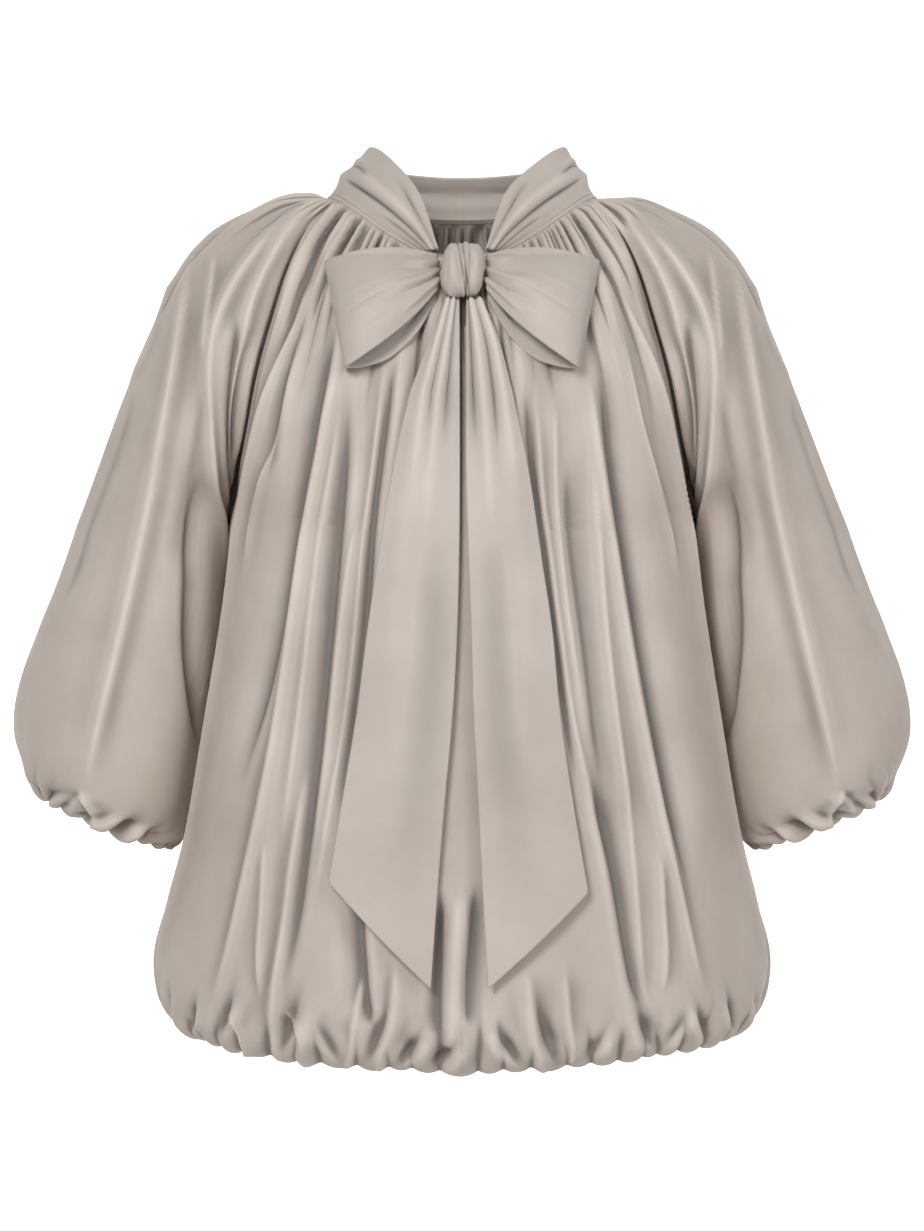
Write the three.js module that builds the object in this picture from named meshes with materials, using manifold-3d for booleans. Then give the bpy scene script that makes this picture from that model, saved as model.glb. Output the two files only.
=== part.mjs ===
// Bow-neck blouse with raglan balloon sleeves and a gathered bubble hem, filled out as worn.
// Millimetres. X runs to the right seen from the front, Y to the back, Z up.
// The origin is the middle of the neck at shoulder height.
import * as THREE from 'three';
import Module from 'manifold-3d';
import { mergeVertices } from 'three/addons/utils/BufferGeometryUtils.js';

const wall = 2;
const seamGap = 0.3;
const neckHalfWide = 97;
const neckHalfDeep = 75;
const neckDropFront = 50;
const neckDropBack = 10;
const neckSeamFront = 68;
const neckSeamBack = 105;
const sleeveTilt = 22;
const hemBandHeight = 22;
const cuffHeight = 20;
const tieThickness = 2.4;
const tailStandOff = 9;

const radians = THREE.MathUtils.degToRad;
const lerp = THREE.MathUtils.lerp;
const smooth = (from, to, value) => THREE.MathUtils.smoothstep(value, from, to);
const vector = (x, y, z) => new THREE.Vector3(x, y, z);

// A table: the names of its columns, then one row of numbers for each section or fold.
const table = (names, rows) => {
  const keys = names.split(' ');
  return rows.map((row) => Object.fromEntries(keys.map((key, index) => [key, row[index]])));
};

// The left half of each body section, from the centre line to the seam. The corner columns say how far
// the cloth swings out and forward (or back) of the seam before it turns in to it.
const frontSections = table('centreY centreZ cornerOut cornerReach', [
  [-75, -50, 2, 22], [-97, -78, 2, 26], [-111, -110, 2, 32], [-121, -143, 3, 40], [-129, -176, 4, 48],
  [-135, -207, 4, 60], [-140, -234, 4, 82], [-144, -258, 12, 112], [-150, -298, 26, 118],
  [-154, -340, 36, 120], [-158, -384, 44, 124], [-161, -428, 46, 130], [-164, -471, 34, 134],
  [-167, -513, 14, 128], [-169, -552, 8, 126], [-167, -581, 8, 124], [-159, -599, 8, 118],
  [-147, -607, 8, 108], [-136, -603, 8, 100], [-130, -591, 8, 96], [-128, -574, 8, 95],
]);
const backSections = table('centreY centreZ cornerOut cornerReach', [
  [75, -10, 2, 22], [93, -34, 2, 24], [104, -66, 2, 30], [112, -101, 3, 36], [118, -137, 4, 42],
  [122, -172, 4, 50], [125, -206, 4, 66], [127, -240, 2, 90], [130, -284, 8, 98],
  [134, -328, 12, 102], [139, -374, 15, 106], [145, -420, 20, 112], [151, -465, 25, 116],
  [156, -508, 14, 118], [158, -548, 8, 118], [156, -577, 8, 116], [148, -594, 8, 110],
  [136, -602, 8, 100], [125, -598, 8, 92], [119, -586, 8, 88], [117, -569, 8, 87],
]);

// Left seams: front and back raglan from the neck to the underarm, then the side seam down to the hem.
const frontRaglan = table('x y z', [
  [-90, -28, -3], [-106, -44, -24], [-119, -55, -52], [-130, -61, -88],
  [-141, -61, -128], [-149, -52, -166], [-157, -32, -202], [-165, 5, -232],
]);
const backRaglan = table('x y z', [
  [-94, 19, 0], [-110, 33, -9], [-127, 46, -34], [-139, 55, -72],
  [-147, 58, -116], [-153, 51, -160], [-159, 34, -200], [-165, 5, -232],
]);
const sideSeam = table('x y z', [
  [-163, 5, -278], [-165, 5, -323], [-169, 5, -369], [-175, 5, -414], [-187, 4, -458], [-205, 2, -500],
  [-216, 0, -538], [-213, 0, -566], [-203, 0, -583], [-190, 0, -591], [-179, 0, -588],
  [-173, 0, -577], [-171, 0, -561],
]);
const underarm = frontRaglan.length - 1;
const lastBodySection = frontSections.length - 1;

// Sleeve sections down to the underarm, which end on the raglan seams. Out, forward and back columns
// are how far the cloth swings off each seam and off the top line.
const sleeveCaps = table('topX topY topZ frontOut frontForward topForward backOut backBack topBack', [
  [-97, 5, 0, 0, 10, 11, 0, 6, 8], [-137, 6, -3, 12, 14, 26, 12, 12, 24],
  [-176, 7, -26, 18, 22, 42, 16, 18, 36], [-201, 7, -55, 20, 30, 56, 18, 24, 48],
  [-219, 7, -97, 20, 38, 68, 20, 30, 60], [-232, 7, -131, 18, 52, 80, 18, 44, 74],
  [-244, 7, -165, 14, 74, 92, 14, 70, 88], [-254, 7, -196, 8, 101, 101, 8, 101, 101],
]);
// Closed sleeve sections below it: distance down the arm, middle, half width, half depth, middle in Y.
const sleeveRings = table('along middle halfWide halfDeep back', [
  [320, 106, 54, 81, 7], [363, 100, 61, 87, 9], [405, 96, 69, 92, 11], [446, 90, 75, 95, 12],
  [476, 83, 73, 94, 12], [495, 76, 64, 87, 12], [506, 72.5, 54.5, 76, 12], [512, 70, 49, 62, 12],
  [509, 70, 46, 52, 12], [500, 70, 45, 47, 12], [491, 70, 45, 46, 12],
]);
const lastSleeveSection = underarm + sleeveRings.length;

const armDown = vector(-Math.sin(radians(sleeveTilt)), 0, -Math.cos(radians(sleeveTilt)));
const armOut = vector(-Math.cos(radians(sleeveTilt)), 0, Math.sin(radians(sleeveTilt)));
const armPoint = (along, out, y) => armDown.clone().multiplyScalar(along).addScaledVector(armOut, out).setY(y);

// A smooth curve through the rows of a list of number lists, at a fractional row number.
const through = (rows, at) => {
  const low = Math.min(Math.max(Math.floor(at), 0), rows.length - 2);
  const t = at - low;
  const [b, c] = [rows[low], rows[low + 1]];
  const a = rows[low - 1] ?? b.map((value, index) => 2 * value - c[index]);
  const d = rows[low + 2] ?? c.map((value, index) => 2 * value - b[index]);
  return b.map((value, i) => value + 0.5 * t * (c[i] - a[i]
    + t * (2 * a[i] - 5 * value + 4 * c[i] - d[i] + t * (3 * (value - c[i]) + d[i] - a[i]))));
};
const flat = (points) => points.flatMap((point) => [point.x, point.y, point.z]);

// A point at a share of the length of the cubic curve that 4 control points give.
const curveSteps = 24;
const alongCurve = (controls, share) => {
  const corner = [0, 3, 6, 9].map((i) => vector(controls[i], controls[i + 1], controls[i + 2]));
  const curve = new THREE.CubicBezierCurve3(...corner);
  curve.arcLengthDivisions = curveSteps;
  return curve.getPointAt(Math.min(Math.max(share, 0), 1));
};
const curveLength = (controls) => {
  const corner = [0, 3, 6, 9].map((i) => vector(controls[i], controls[i + 1], controls[i + 2]));
  const curve = new THREE.CubicBezierCurve3(...corner);
  curve.arcLengthDivisions = curveSteps;
  return curve.getLength();
};

// The neck seam, by the angle round the neck from the front centre, on the left for positive angles.
const neckPoint = (degrees) => {
  const [side, front] = [Math.sin(radians(degrees)), Math.cos(radians(degrees))];
  const drop = front > 0 ? neckDropFront * front ** 2.8 : neckDropBack * (-front) ** 1.6;
  return vector(-neckHalfWide * side, -neckHalfDeep * front, -drop);
};

const bodyControls = (sections, raglan, facing) => {
  const seams = [...raglan, ...sideSeam];
  return sections.map((section, index) => {
    const seam = vector(seams[index].x, seams[index].y, seams[index].z);
    const centre = vector(0, section.centreY, section.centreZ);
    const fall = section.centreZ - seam.z;
    const level = vector(0.5 * seam.x, centre.y, centre.z - 0.15 * fall);
    const corner = seam.clone().add(vector(-section.cornerOut, facing * section.cornerReach, 0.25 * fall));
    return flat([centre, level, corner, seam]);
  });
};
const frontControls = bodyControls(frontSections, frontRaglan, -1);
const backControls = bodyControls(backSections, backRaglan, 1);

const sleeveHalf = (raglan, facing, outKey, reachKey, topKey) => {
  const caps = sleeveCaps.map((cap, index) => {
    const seam = vector(raglan[index].x, raglan[index].y, raglan[index].z);
    const top = vector(cap.topX, cap.topY, cap.topZ);
    const swing = seam.clone().addScaledVector(armOut, cap[outKey]).add(vector(0, facing * cap[reachKey], 0));
    return flat([seam, swing, top.clone().add(vector(0, facing * cap[topKey], 0)), top]);
  });
  const rings = sleeveRings.map(({ along, middle, halfWide, halfDeep, back }) => {
    const reach = back + facing * halfDeep * 4 / 3;
    return flat([armPoint(along, middle - halfWide, back), armPoint(along, middle - halfWide, reach),
      armPoint(along, middle + halfWide, reach), armPoint(along, middle + halfWide, back)]);
  });
  return [...caps, ...rings];
};
const sleeveFront = sleeveHalf(frontRaglan, -1, 'frontOut', 'frontForward', 'topForward');
const sleeveBack = sleeveHalf(backRaglan, 1, 'backOut', 'backBack', 'topBack');

// The smooth form of each panel. u runs from -1 at one seam to 1 at the other, v counts sections.
const bodyForm = (controls, neckFrom, neckTo) => (u, v) => {
  const onCurve = (at) => alongCurve(through(controls, at), Math.abs(u));
  const point = onCurve(v);
  if (v < 1) {
    const seam = neckPoint(lerp(neckFrom, neckTo, Math.abs(u)));
    point.addScaledVector(seam.sub(onCurve(0)), (1 - v) ** 2);
  }
  point.x *= u > 0 ? -1 : 1;
  return point;
};
const frontForm = bodyForm(frontControls, 0, neckSeamFront);
const backForm = bodyForm(backControls, 180, neckSeamBack);
const neckTop = 87;
const sleeveForm = (side) => (u, v) => {
  const controls = u < 0 ? sleeveFront : sleeveBack;
  const onCurve = (at) => alongCurve(through(controls, at), 1 - Math.abs(u));
  const point = onCurve(v);
  if (v < 1) {
    const seam = neckPoint(lerp(neckTop, u < 0 ? neckSeamFront : neckSeamBack, Math.abs(u)));
    point.addScaledVector(seam.sub(onCurve(0)), (1 - v) ** 2);
  }
  point.x *= side;
  return point;
};

// Folds. Each row is one soft ridge, or a trough where the height is negative: the sections it runs
// between, how far round it lies at its top, middle and bottom, its height and its half width.
const foldColumns = 'from to top middle bottom height half';
const frontFolds = table(foldColumns, [
  [0.3, 5.0, -103, -129, -150, -5, 9], [0.4, 8.0, -126, -163, -192, 4, 10],
  [2.8, 13.4, -104, -134, -199, -6, 10], [3.0, 14.6, -80, -102, -136, -8, 10],
  [3.0, 12.5, -52, -67, -94, -5, 8], [7.5, 14.2, -117, -148, -178, 5, 9],
  [7.8, 15.0, -104, -130, -139, 4, 8], [7.6, 14.2, -84, -101, -119, 5, 9],
  [11.5, 15.2, -152, -155, -147, 4, 8], [12.4, 16.4, -62, -67, -69, -8, 8],
  [14.0, 17.0, -138, -121, -105, -7, 9], [3.4, 13.8, -26, -30, -36, 3, 12],
  [0.3, 4.6, 104, 128, 148, -5, 9], [0.4, 8.0, 126, 163, 190, 4, 10],
  [2.6, 12.8, 100, 125, 175, -6, 10], [6.8, 14.9, 78, 101, 129, -8, 10],
  [3.0, 12.0, 45, 60, 88, -5, 8], [7.5, 13.8, 117, 147, 172, 5, 9],
  [8.4, 14.6, 106, 128, 146, 4, 8], [8.2, 14.2, 72, 87, 106, 5, 9],
  [11.8, 15.6, 62, 66, 60, -7, 8], [14.0, 17.0, 131, 112, 96, -7, 9], [3.2, 13.4, 22, 27, 40, 3, 12],
]);
const backFolds = table(foldColumns, [
  [0.6, 7.4, -62, -96, -136, 5, 10], [1.2, 9.5, -42, -60, -92, -6, 10],
  [3.2, 14.8, -18, -31, -44, 5, 11], [2.0, 13.4, -84, -128, -186, -6, 10],
  [6.0, 15.0, -74, -98, -118, 6, 11], [9.0, 16.0, -128, -160, -168, 5, 10],
  [1.0, 8.4, 8, 12, 19, -5, 10], [4.2, 15.4, 2, 4, -6, -6, 10], [0.8, 6.8, 50, 82, 118, 5, 10],
  [2.6, 14.4, 34, 52, 80, 6, 11], [3.4, 12.8, 66, 98, 132, -6, 10], [8.4, 15.6, 24, 33, 38, -6, 9],
  [7.4, 15.2, 118, 150, 176, 5, 10], [10.6, 16.0, 96, 118, 128, -6, 9],
]);
const sleeveFolds = table(foldColumns, [
  [0.4, 5.2, -36, -101, -140, 4, 9], [0.5, 6.4, -42, -92, -142, 5, 10], [2.2, 7.4, -90, -131, -200, -7, 10],
  [5.5, 11.2, -111, -148, -216, -5, 10], [8.0, 13.6, -98, -132, -98, 4, 10], [0.6, 4.2, -13, -18, -12, -3, 8],
  [5.0, 12.6, -52, -70, -82, 3, 14], [8.6, 13.4, -168, -186, -170, 4, 10],
  [0.6, 7.2, 30, 76, 118, 4, 10], [1.6, 9.0, 50, 98, 160, -6, 10], [4.4, 12.8, 22, 46, 60, -4, 12],
  [6.4, 13.2, 92, 132, 118, 5, 11], [8.6, 13.6, 150, 190, 168, -5, 10],
]);
const foldHeight = (folds, round, v) => folds.reduce((sum, fold) => {
  const t = (v - fold.from) / (fold.to - fold.from);
  if (t <= 0 || t >= 1) return sum;
  const line = lerp(lerp(fold.top, fold.middle, 2 * t), lerp(fold.middle, fold.bottom, 2 * t - 1), t);
  const fade = smooth(0, 0.25, t) * smooth(0, 0.25, 1 - t);
  return sum + fold.height * fade * Math.exp(-(((round - line) / fold.half) ** 2));
}, 0);

// A closed wall through rows of points. Rows may hold twice the cells of their neighbour, and rows
// whose ends meet are closed. outward is 1 where u x v points out of the cloth, else -1.
const buildWall = ({ rows, form, height, outward, thickness = wall, spread = (share) => share }) => {
  const step = 0.004;
  const positions = [];
  const faces = [];
  const add = (point) => positions.push(point.x, point.y, point.z) / 3 - 1;
  const grid = rows.map(({ v, cells, closed }) => {
    const outer = [];
    const inner = [];
    const count = closed ? cells : cells + 1;
    for (let cell = 0; cell < count; cell += 1) {
      const u = 2 * spread(cell / cells) - 1;
      const base = form(u, v);
      const uLow = Math.max(u - step, -1);
      const uHigh = Math.min(u + step, 1);
      const vLow = Math.max(v - 0.02, rows[0].v);
      const vHigh = Math.min(v + 0.02, rows[rows.length - 1].v);
      const acrossU = form(uHigh, v).sub(form(uLow, v));
      const acrossV = form(u, vHigh).sub(form(u, vLow));
      const normal = acrossU.clone().cross(acrossV).normalize().multiplyScalar(outward);
      const lift = height(u, v, cell, cells);
      const inset = vector(0, 0, 0);
      if (!closed && cell === 0) inset.addScaledVector(acrossU.normalize(), seamGap / 2);
      if (!closed && cell === cells) inset.addScaledVector(acrossU.normalize(), -seamGap / 2);
      if (v === rows[0].v) inset.addScaledVector(acrossV.normalize(), seamGap / 2);
      if (v === rows[rows.length - 1].v) inset.addScaledVector(acrossV.normalize(), -seamGap / 2);
      outer.push(add(base.clone().addScaledVector(normal, lift).add(inset)));
      inner.push(add(base.clone().addScaledVector(normal, lift - thickness).add(inset)));
    }
    if (closed) {
      outer.push(outer[0]);
      inner.push(inner[0]);
    }
    return { outer, inner, closed };
  });
  const face = (a, b, c, flip) => faces.push(...(flip ? [a, c, b] : [a, b, c]));
  const quad = (a, b, c, d, flip) => {
    face(a, b, c, flip);
    face(a, c, d, flip);
  };
  const strip = (top, bottom, flip) => {
    const [m, n] = [top.length - 1, bottom.length - 1];
    if (m === n) {
      for (let i = 0; i < n; i += 1) quad(top[i], bottom[i], bottom[i + 1], top[i + 1], flip);
    } else if (n === 2 * m) {
      for (let i = 0; i < m; i += 1) {
        face(top[i], bottom[2 * i], bottom[2 * i + 1], flip);
        face(top[i], bottom[2 * i + 1], top[i + 1], flip);
        face(top[i + 1], bottom[2 * i + 1], bottom[2 * i + 2], flip);
      }
    } else {
      for (let i = 0; i < n; i += 1) {
        face(top[2 * i], bottom[i], top[2 * i + 1], flip);
        face(bottom[i], bottom[i + 1], top[2 * i + 1], flip);
        face(top[2 * i + 1], bottom[i + 1], top[2 * i + 2], flip);
      }
    }
  };
  const flip = outward > 0;
  for (let row = 0; row + 1 < grid.length; row += 1) {
    const [top, bottom] = [grid[row], grid[row + 1]];
    strip(top.outer, bottom.outer, flip);
    strip(top.inner, bottom.inner, !flip);
    if (!top.closed) {
      quad(top.outer[0], top.inner[0], bottom.inner[0], bottom.outer[0], flip);
      quad(top.outer.at(-1), bottom.outer.at(-1), bottom.inner.at(-1), top.inner.at(-1), flip);
    }
  }
  strip(grid[0].inner, grid[0].outer, flip);
  strip(grid.at(-1).outer, grid.at(-1).inner, flip);
  const geometry = new THREE.BufferGeometry();
  geometry.setAttribute('position', new THREE.Float32BufferAttribute(positions, 3));
  geometry.setIndex(faces);
  return geometry;
};

const group = new THREE.Group();
const cloth = (name, color) => new THREE.MeshStandardMaterial({ name, color, roughness: 0.45, metalness: 0 });
const satin = cloth('satin', 0xbbb0a7);
const tieSatin = cloth('tie_satin', 0xc1b6ae);
const piece = (name, geometry, material = satin) => {
  const mesh = new THREE.Mesh(geometry, material);
  mesh.name = name;
  group.add(mesh);
};

// Uneven spacing of the gathers, 0 and 1 kept in place.
const uneven = (amount, waves, shift) => (share) => share
  + amount * Math.sin(Math.PI * share) * Math.sin(2 * Math.PI * waves * share + shift);
const edgeFade = (u) => smooth(0, 0.06, 1 - Math.abs(u));

// Gathers at the neck: one ridge for each two cells.
const neckGather = (v, cell, cells, deep, fine) => {
  if (cells < fine) return 0;
  return deep * smooth(0, 0.35, v) * (1 - smooth(1, 2.6, v)) * (cell % 2 ? 1 : -1);
};
// Gathers at a bubble edge: four cells to a rounded puff with a sharp crease beside it.
const puffGather = (v, cell, cells, deep, fine, start, turn, end) => {
  if (cells < fine) return 0;
  const crease = [-1, 0.4, 1, 0.3][cell % 4];
  const unevenFour = 0.75 + 0.25 * Math.sin(1.9 * Math.floor(cell / 4) + 0.6);
  return deep * unevenFour * crease * smooth(start, turn, v) * (1 - smooth(turn + 1, end, v));
};

const bodyRows = (coarse, neckV, middleV, hemV) => [
  ...neckV.map((v) => ({ v, cells: 2 * coarse })),
  ...middleV.map((v) => ({ v, cells: coarse })),
  ...hemV.map((v) => ({ v, cells: 2 * coarse })),
];
const frontCells = 40;
const backCells = 28;
const halfLength = (controls, v) => curveLength(through(controls, v));
const bodyHeight = (controls, folds, coarse) => (u, v, cell, cells) => {
  const round = u * halfLength(controls, v);
  return edgeFade(u) * (foldHeight(folds, round, v)
    + neckGather(v, cell, cells, 1.8, 2 * coarse)
    + (v > underarm ? puffGather(v, cell, cells, 5, 2 * coarse, 12.5, 15, 19.6) : 0));
};
const neckRowsV = [0, 0.3, 0.9, 1.6, 2.3];
const middleRowsV = [3.1, 4, 5, 6, 7, 8.5, 10.2, 12];
const hemRowsV = [13.3, 14.5, 15.5, 16.5, 17.7, 20];
const frontGeometry = buildWall({
  rows: bodyRows(frontCells, neckRowsV, middleRowsV, hemRowsV),
  form: frontForm,
  height: bodyHeight(frontControls, frontFolds, frontCells),
  outward: -1,
  spread: uneven(0.006, 5, 0.8),
});

// The neck slit below the knot, a drop cut through the front from the neck seam.
const slit = { top: -30, bottom: -99, widest: -90, halfWide: 3.2, depth: 120 };
const wasm = await Module();
wasm.setup();
const solidOf = (geometry) => {
  const bare = geometry.clone();
  for (const key of ['normal', 'uv']) bare.deleteAttribute(key);
  const merged = mergeVertices(bare, 1e-4);
  return new wasm.Manifold(new wasm.Mesh({
    numProp: 3,
    vertProperties: Float32Array.from(merged.attributes.position.array),
    triVerts: Uint32Array.from(merged.index.array),
  }));
};
const geometryOf = (solid) => {
  const mesh = solid.getMesh();
  const geometry = new THREE.BufferGeometry();
  geometry.setAttribute('position', new THREE.BufferAttribute(mesh.vertProperties, 3));
  geometry.setIndex(new THREE.BufferAttribute(mesh.triVerts, 1));
  return geometry;
};
const slitShape = new THREE.Shape();
slitShape.moveTo(-0.8, slit.top);
slitShape.lineTo(-slit.halfWide, slit.widest);
slitShape.quadraticCurveTo(-slit.halfWide, slit.bottom, 0, slit.bottom);
slitShape.quadraticCurveTo(slit.halfWide, slit.bottom, slit.halfWide, slit.widest);
slitShape.lineTo(0.8, slit.top);
slitShape.closePath();
const slitPrism = new THREE.ExtrudeGeometry(slitShape, { depth: slit.depth, bevelEnabled: false, curveSegments: 4 });
slitPrism.rotateX(Math.PI / 2);
piece('front_panel', geometryOf(solidOf(frontGeometry).subtract(solidOf(slitPrism))));
piece('back_panel', buildWall({
  rows: bodyRows(backCells, neckRowsV, middleRowsV, hemRowsV),
  form: backForm,
  height: bodyHeight(backControls, backFolds, backCells),
  outward: 1,
  spread: uneven(0.006, 4, 2.1),
}));

const sleeveCells = 24;
const sleeveRows = [
  ...neckRowsV.map((v) => ({ v, cells: 2 * sleeveCells, closed: false })),
  ...[3.1, 4, 5, 6].map((v) => ({ v, cells: sleeveCells, closed: false })),
  ...[7, 8.4, 9.9].map((v) => ({ v, cells: sleeveCells, closed: true })),
  ...[11.3, 12.5, 13.5, 14.5, 15.6, 18].map((v) => ({ v, cells: 2 * sleeveCells, closed: true })),
];
const sleeveHeight = (folds) => (u, v, cell, cells) => {
  const round = u * halfLength(u < 0 ? sleeveFront : sleeveBack, v);
  const fade = v < underarm ? edgeFade(u) : 1;
  return fade * (foldHeight(folds, round, v) + neckGather(v, cell, cells, 1.5, 2 * sleeveCells)
    + (v > underarm ? puffGather(v, cell, cells, 4.5, 2 * sleeveCells, 10.5, 13, 17.6) : 0));
};
for (const [name, side] of [['sleeve_left', 1], ['sleeve_right', -1]]) {
  piece(name, buildWall({
    rows: sleeveRows,
    form: sleeveForm(side),
    height: sleeveHeight(sleeveFolds),
    outward: side,
  }));
}

// The hem band and cuffs, plain rings that carry on up from the gathered edges.
const bandForm = (u, v) => {
  const edge = u < 0 ? frontForm(2 * u + 1, lastBodySection) : backForm(1 - 2 * u, lastBodySection);
  return edge.setZ(edge.z + v * hemBandHeight);
};
const ring = (cells) => [0, 1].map((v) => ({ v, cells, closed: true }));
const noFold = () => 0;
piece('hem_band', buildWall({ rows: ring(48), form: bandForm, height: noFold, outward: 1 }));
for (const [name, side] of [['cuff_left', 1], ['cuff_right', -1]]) {
  const form = (u, v) => {
    const up = armDown.clone().multiplyScalar(-cuffHeight * v);
    return sleeveForm(side)(u, lastSleeveSection).add(up.multiply(vector(side, 1, 1)));
  };
  piece(name, buildWall({ rows: ring(24), form, height: noFold, outward: -side }));
}

// The neckband, from the knot round the back to the knot again. Each row is a place round the neck,
// at even steps from the front to the back, and its upper edge there.
const bandEdges = table('x y z roll', [
  [-17, -85, -43, 1], [-29, -64, -15, 4], [-38, -52, 4, 6], [-47, -37, 20, 6], [-58, -19, 33.5, 4],
  [-66, -2, 38.5, 2], [-68, 13, 35, 2], [-65, 29, 30.5, 3], [-58, 42, 28, 4], [-47, 53, 26, 4],
  [-33, 60, 25, 4], [-17, 65, 24.3, 4], [0, 67, 24, 4],
]);
const bandStart = 16;
const bandRows = bandEdges.map(({ x, y, z, roll }) => [x, y, z, roll]);
const neckbandForm = (u, v) => {
  const share = 1 - Math.abs(u);
  const [x, y, z, roll] = through(bandRows, share * (bandRows.length - 1));
  const low = neckPoint(lerp(bandStart, 180, share));
  const point = low.clone().lerp(vector(x, y, z), v);
  const bulge = roll * Math.sin(Math.PI * v);
  point.add(vector(low.x, low.y, 0).normalize().multiplyScalar(bulge));
  point.x *= u > 0 ? -1 : 1;
  return point;
};
const bandFold = (u, v) => 1.6 * Math.sin(Math.PI * v) * Math.cos(3 * Math.PI * (v + 0.35 * Math.abs(u)));
piece('neckband', buildWall({
  rows: [0, 0.2, 0.45, 0.72, 1].map((v) => ({ v, cells: 40 })),
  form: neckbandForm,
  height: bandFold,
  outward: -1,
  thickness: tieThickness,
}), tieSatin);

// The front panel's form at a given X and Z, found by stepping towards it.
const onFront = (x, z) => {
  let u = x / 215;
  let v = (-50 - z) / 42;
  for (let step = 0; step < 30; step += 1) {
    const point = frontForm(u, Math.max(v, 0));
    u += (x - point.x) / 215;
    v += (point.z - z) / 42;
  }
  return frontForm(u, Math.max(v, 0));
};

// The knot: a barrel along X, wrapped by two folds.
const knot = { x: 0.5, y: -109, z: -60, halfWide: 15, halfDeep: 14, halfHigh: 19 };
const knotRings = table('along size', [
  [-1, 0.62], [-0.9, 0.84], [-0.6, 0.98], [-0.25, 0.96], [0, 0.84], [0.25, 0.96], [0.6, 0.98], [0.9, 0.84], [1, 0.62],
]);
const ringSides = 18;
const knotGeometry = () => {
  const positions = [];
  const faces = [];
  for (const { along, size } of knotRings) {
    for (let side = 0; side < ringSides; side += 1) {
      const turn = 2 * Math.PI * side / ringSides;
      positions.push(
        knot.x + knot.halfWide * along + 0.8 * Math.sin(turn),
        knot.y + knot.halfDeep * size * Math.cos(turn),
        knot.z + knot.halfHigh * size * Math.sin(turn),
      );
    }
  }
  const last = knotRings.length - 1;
  for (let ringIndex = 0; ringIndex < last; ringIndex += 1) {
    for (let side = 0; side < ringSides; side += 1) {
      const a = ringIndex * ringSides + side;
      const b = ringIndex * ringSides + (side + 1) % ringSides;
      faces.push(a, b, b + ringSides, a, b + ringSides, a + ringSides);
    }
  }
  const firstCentre = positions.push(knot.x - knot.halfWide, knot.y, knot.z) / 3 - 1;
  const lastCentre = positions.push(knot.x + knot.halfWide, knot.y, knot.z) / 3 - 1;
  for (let side = 0; side < ringSides; side += 1) {
    const next = (side + 1) % ringSides;
    faces.push(firstCentre, next, side);
    faces.push(lastCentre, last * ringSides + side, last * ringSides + next);
  }
  const geometry = new THREE.BufferGeometry();
  geometry.setAttribute('position', new THREE.Float32BufferAttribute(positions, 3));
  geometry.setIndex(faces);
  return geometry;
};
piece('bow_knot', knotGeometry(), tieSatin);

// The loops. Each is one ribbon from the knot, out along its front, round the outer fold and back.
// Rows run from the knot outwards: upper and lower edges of the front and of the back, and its puff.
const loopSections = table('out top frontLow backLow puff', [
  [17.2, -48, -73, -79, 8], [32, -45, -90, -104, 17], [52, -44, -107, -121, 25],
  [72, -46, -120, -127, 24], [86, -49, -127, -128, 16], [94, -51, -128, -128, 4],
]);
const loopRows = loopSections.map(({ out, top, frontLow, backLow, puff }) => [out, top, frontLow, backLow, puff]);
const loopSlant = 15;
const loopForm = (side) => (u, v) => {
  const share = Math.sin(0.5 * Math.PI * (1 - Math.abs(u)));
  const [out, top, frontLow, backLow, puff] = through(loopRows, share * (loopRows.length - 1));
  const low = lerp(frontLow, backLow, smooth(-0.25, 0.25, u));
  const z = lerp(top, low, v);
  const x = -side * (out - loopSlant * v * share ** 2);
  const behind = onFront(x, z).y - 6;
  const front = smooth(-0.18, 0.18, -u);
  return vector(x, behind - puff * front * (0.6 + 0.4 * Math.sin(Math.PI * v)), z);
};
for (const [name, side] of [['bow_loop_left', 1], ['bow_loop_right', -1]]) {
  piece(name, buildWall({
    rows: [0, 0.25, 0.5, 0.75, 1].map((v) => ({ v, cells: 22 })),
    form: loopForm(side),
    height: noFold,
    outward: -side,
    thickness: tieThickness,
  }), tieSatin);
}

// The tails: edges at heights down the front, for a slanting end they are cut along a sloping line.
const tailSections = table('z leftOuter leftInner rightOuter rightInner', [
  [-78, -11.5, -1.2, 13, 2.2], [-110, -23, -1.2, 26, 2.2], [-145, -36, -1.2, 35, 2.2], [-200, -48, -1.2, 46, 2.4],
  [-255, -57, -1.6, 54, 4], [-310, -65, -3, 62, 6], [-365, -72, -6, 67, 7.5], [-420, -81, -11, 75, 10.5],
  [-480, -91, -16, 85, 13.5], [-551, -102, -21, 96, 17.5],
]);
const tailRows = tailSections.map(({ z, leftOuter, leftInner, rightOuter, rightInner }) => [
  z, leftOuter, leftInner, rightOuter, rightInner]);
const tailTop = -78.8;
const tailLift = 3;
const tailForm = (outer, inner, outerEnd, innerEnd) => (u, v) => {
  const share = (u + 1) / 2;
  const z = lerp(tailTop, lerp(outerEnd, innerEnd, share), v);
  let low = 0;
  while (low < tailRows.length - 2 && tailRows[low + 1][0] > z) low += 1;
  const at = low + (tailRows[low][0] - z) / (tailRows[low][0] - tailRows[low + 1][0]);
  const row = through(tailRows, at);
  const x = lerp(row[outer], row[inner], share);
  const lift = tailStandOff + tailLift * (1 - smooth(0, 0.15, v)) + 2.5 * Math.sin(Math.PI * share);
  return vector(x, onFront(x, z).y - lift, z);
};
const tailShares = [0, 0.04, 0.1, 0.2, 0.32, 0.45, 0.58, 0.7, 0.81, 0.91, 1];
const tailFold = (u, v) => 1.5 * Math.sin(Math.PI * v) * Math.cos(2.5 * Math.PI * u) * (1 - v);
piece('tie_tail_left', buildWall({
  rows: tailShares.map((v) => ({ v, cells: 8 })),
  form: tailForm(1, 2, -480, -551),
  height: tailFold,
  outward: -1,
  thickness: tieThickness,
}), tieSatin);
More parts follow.
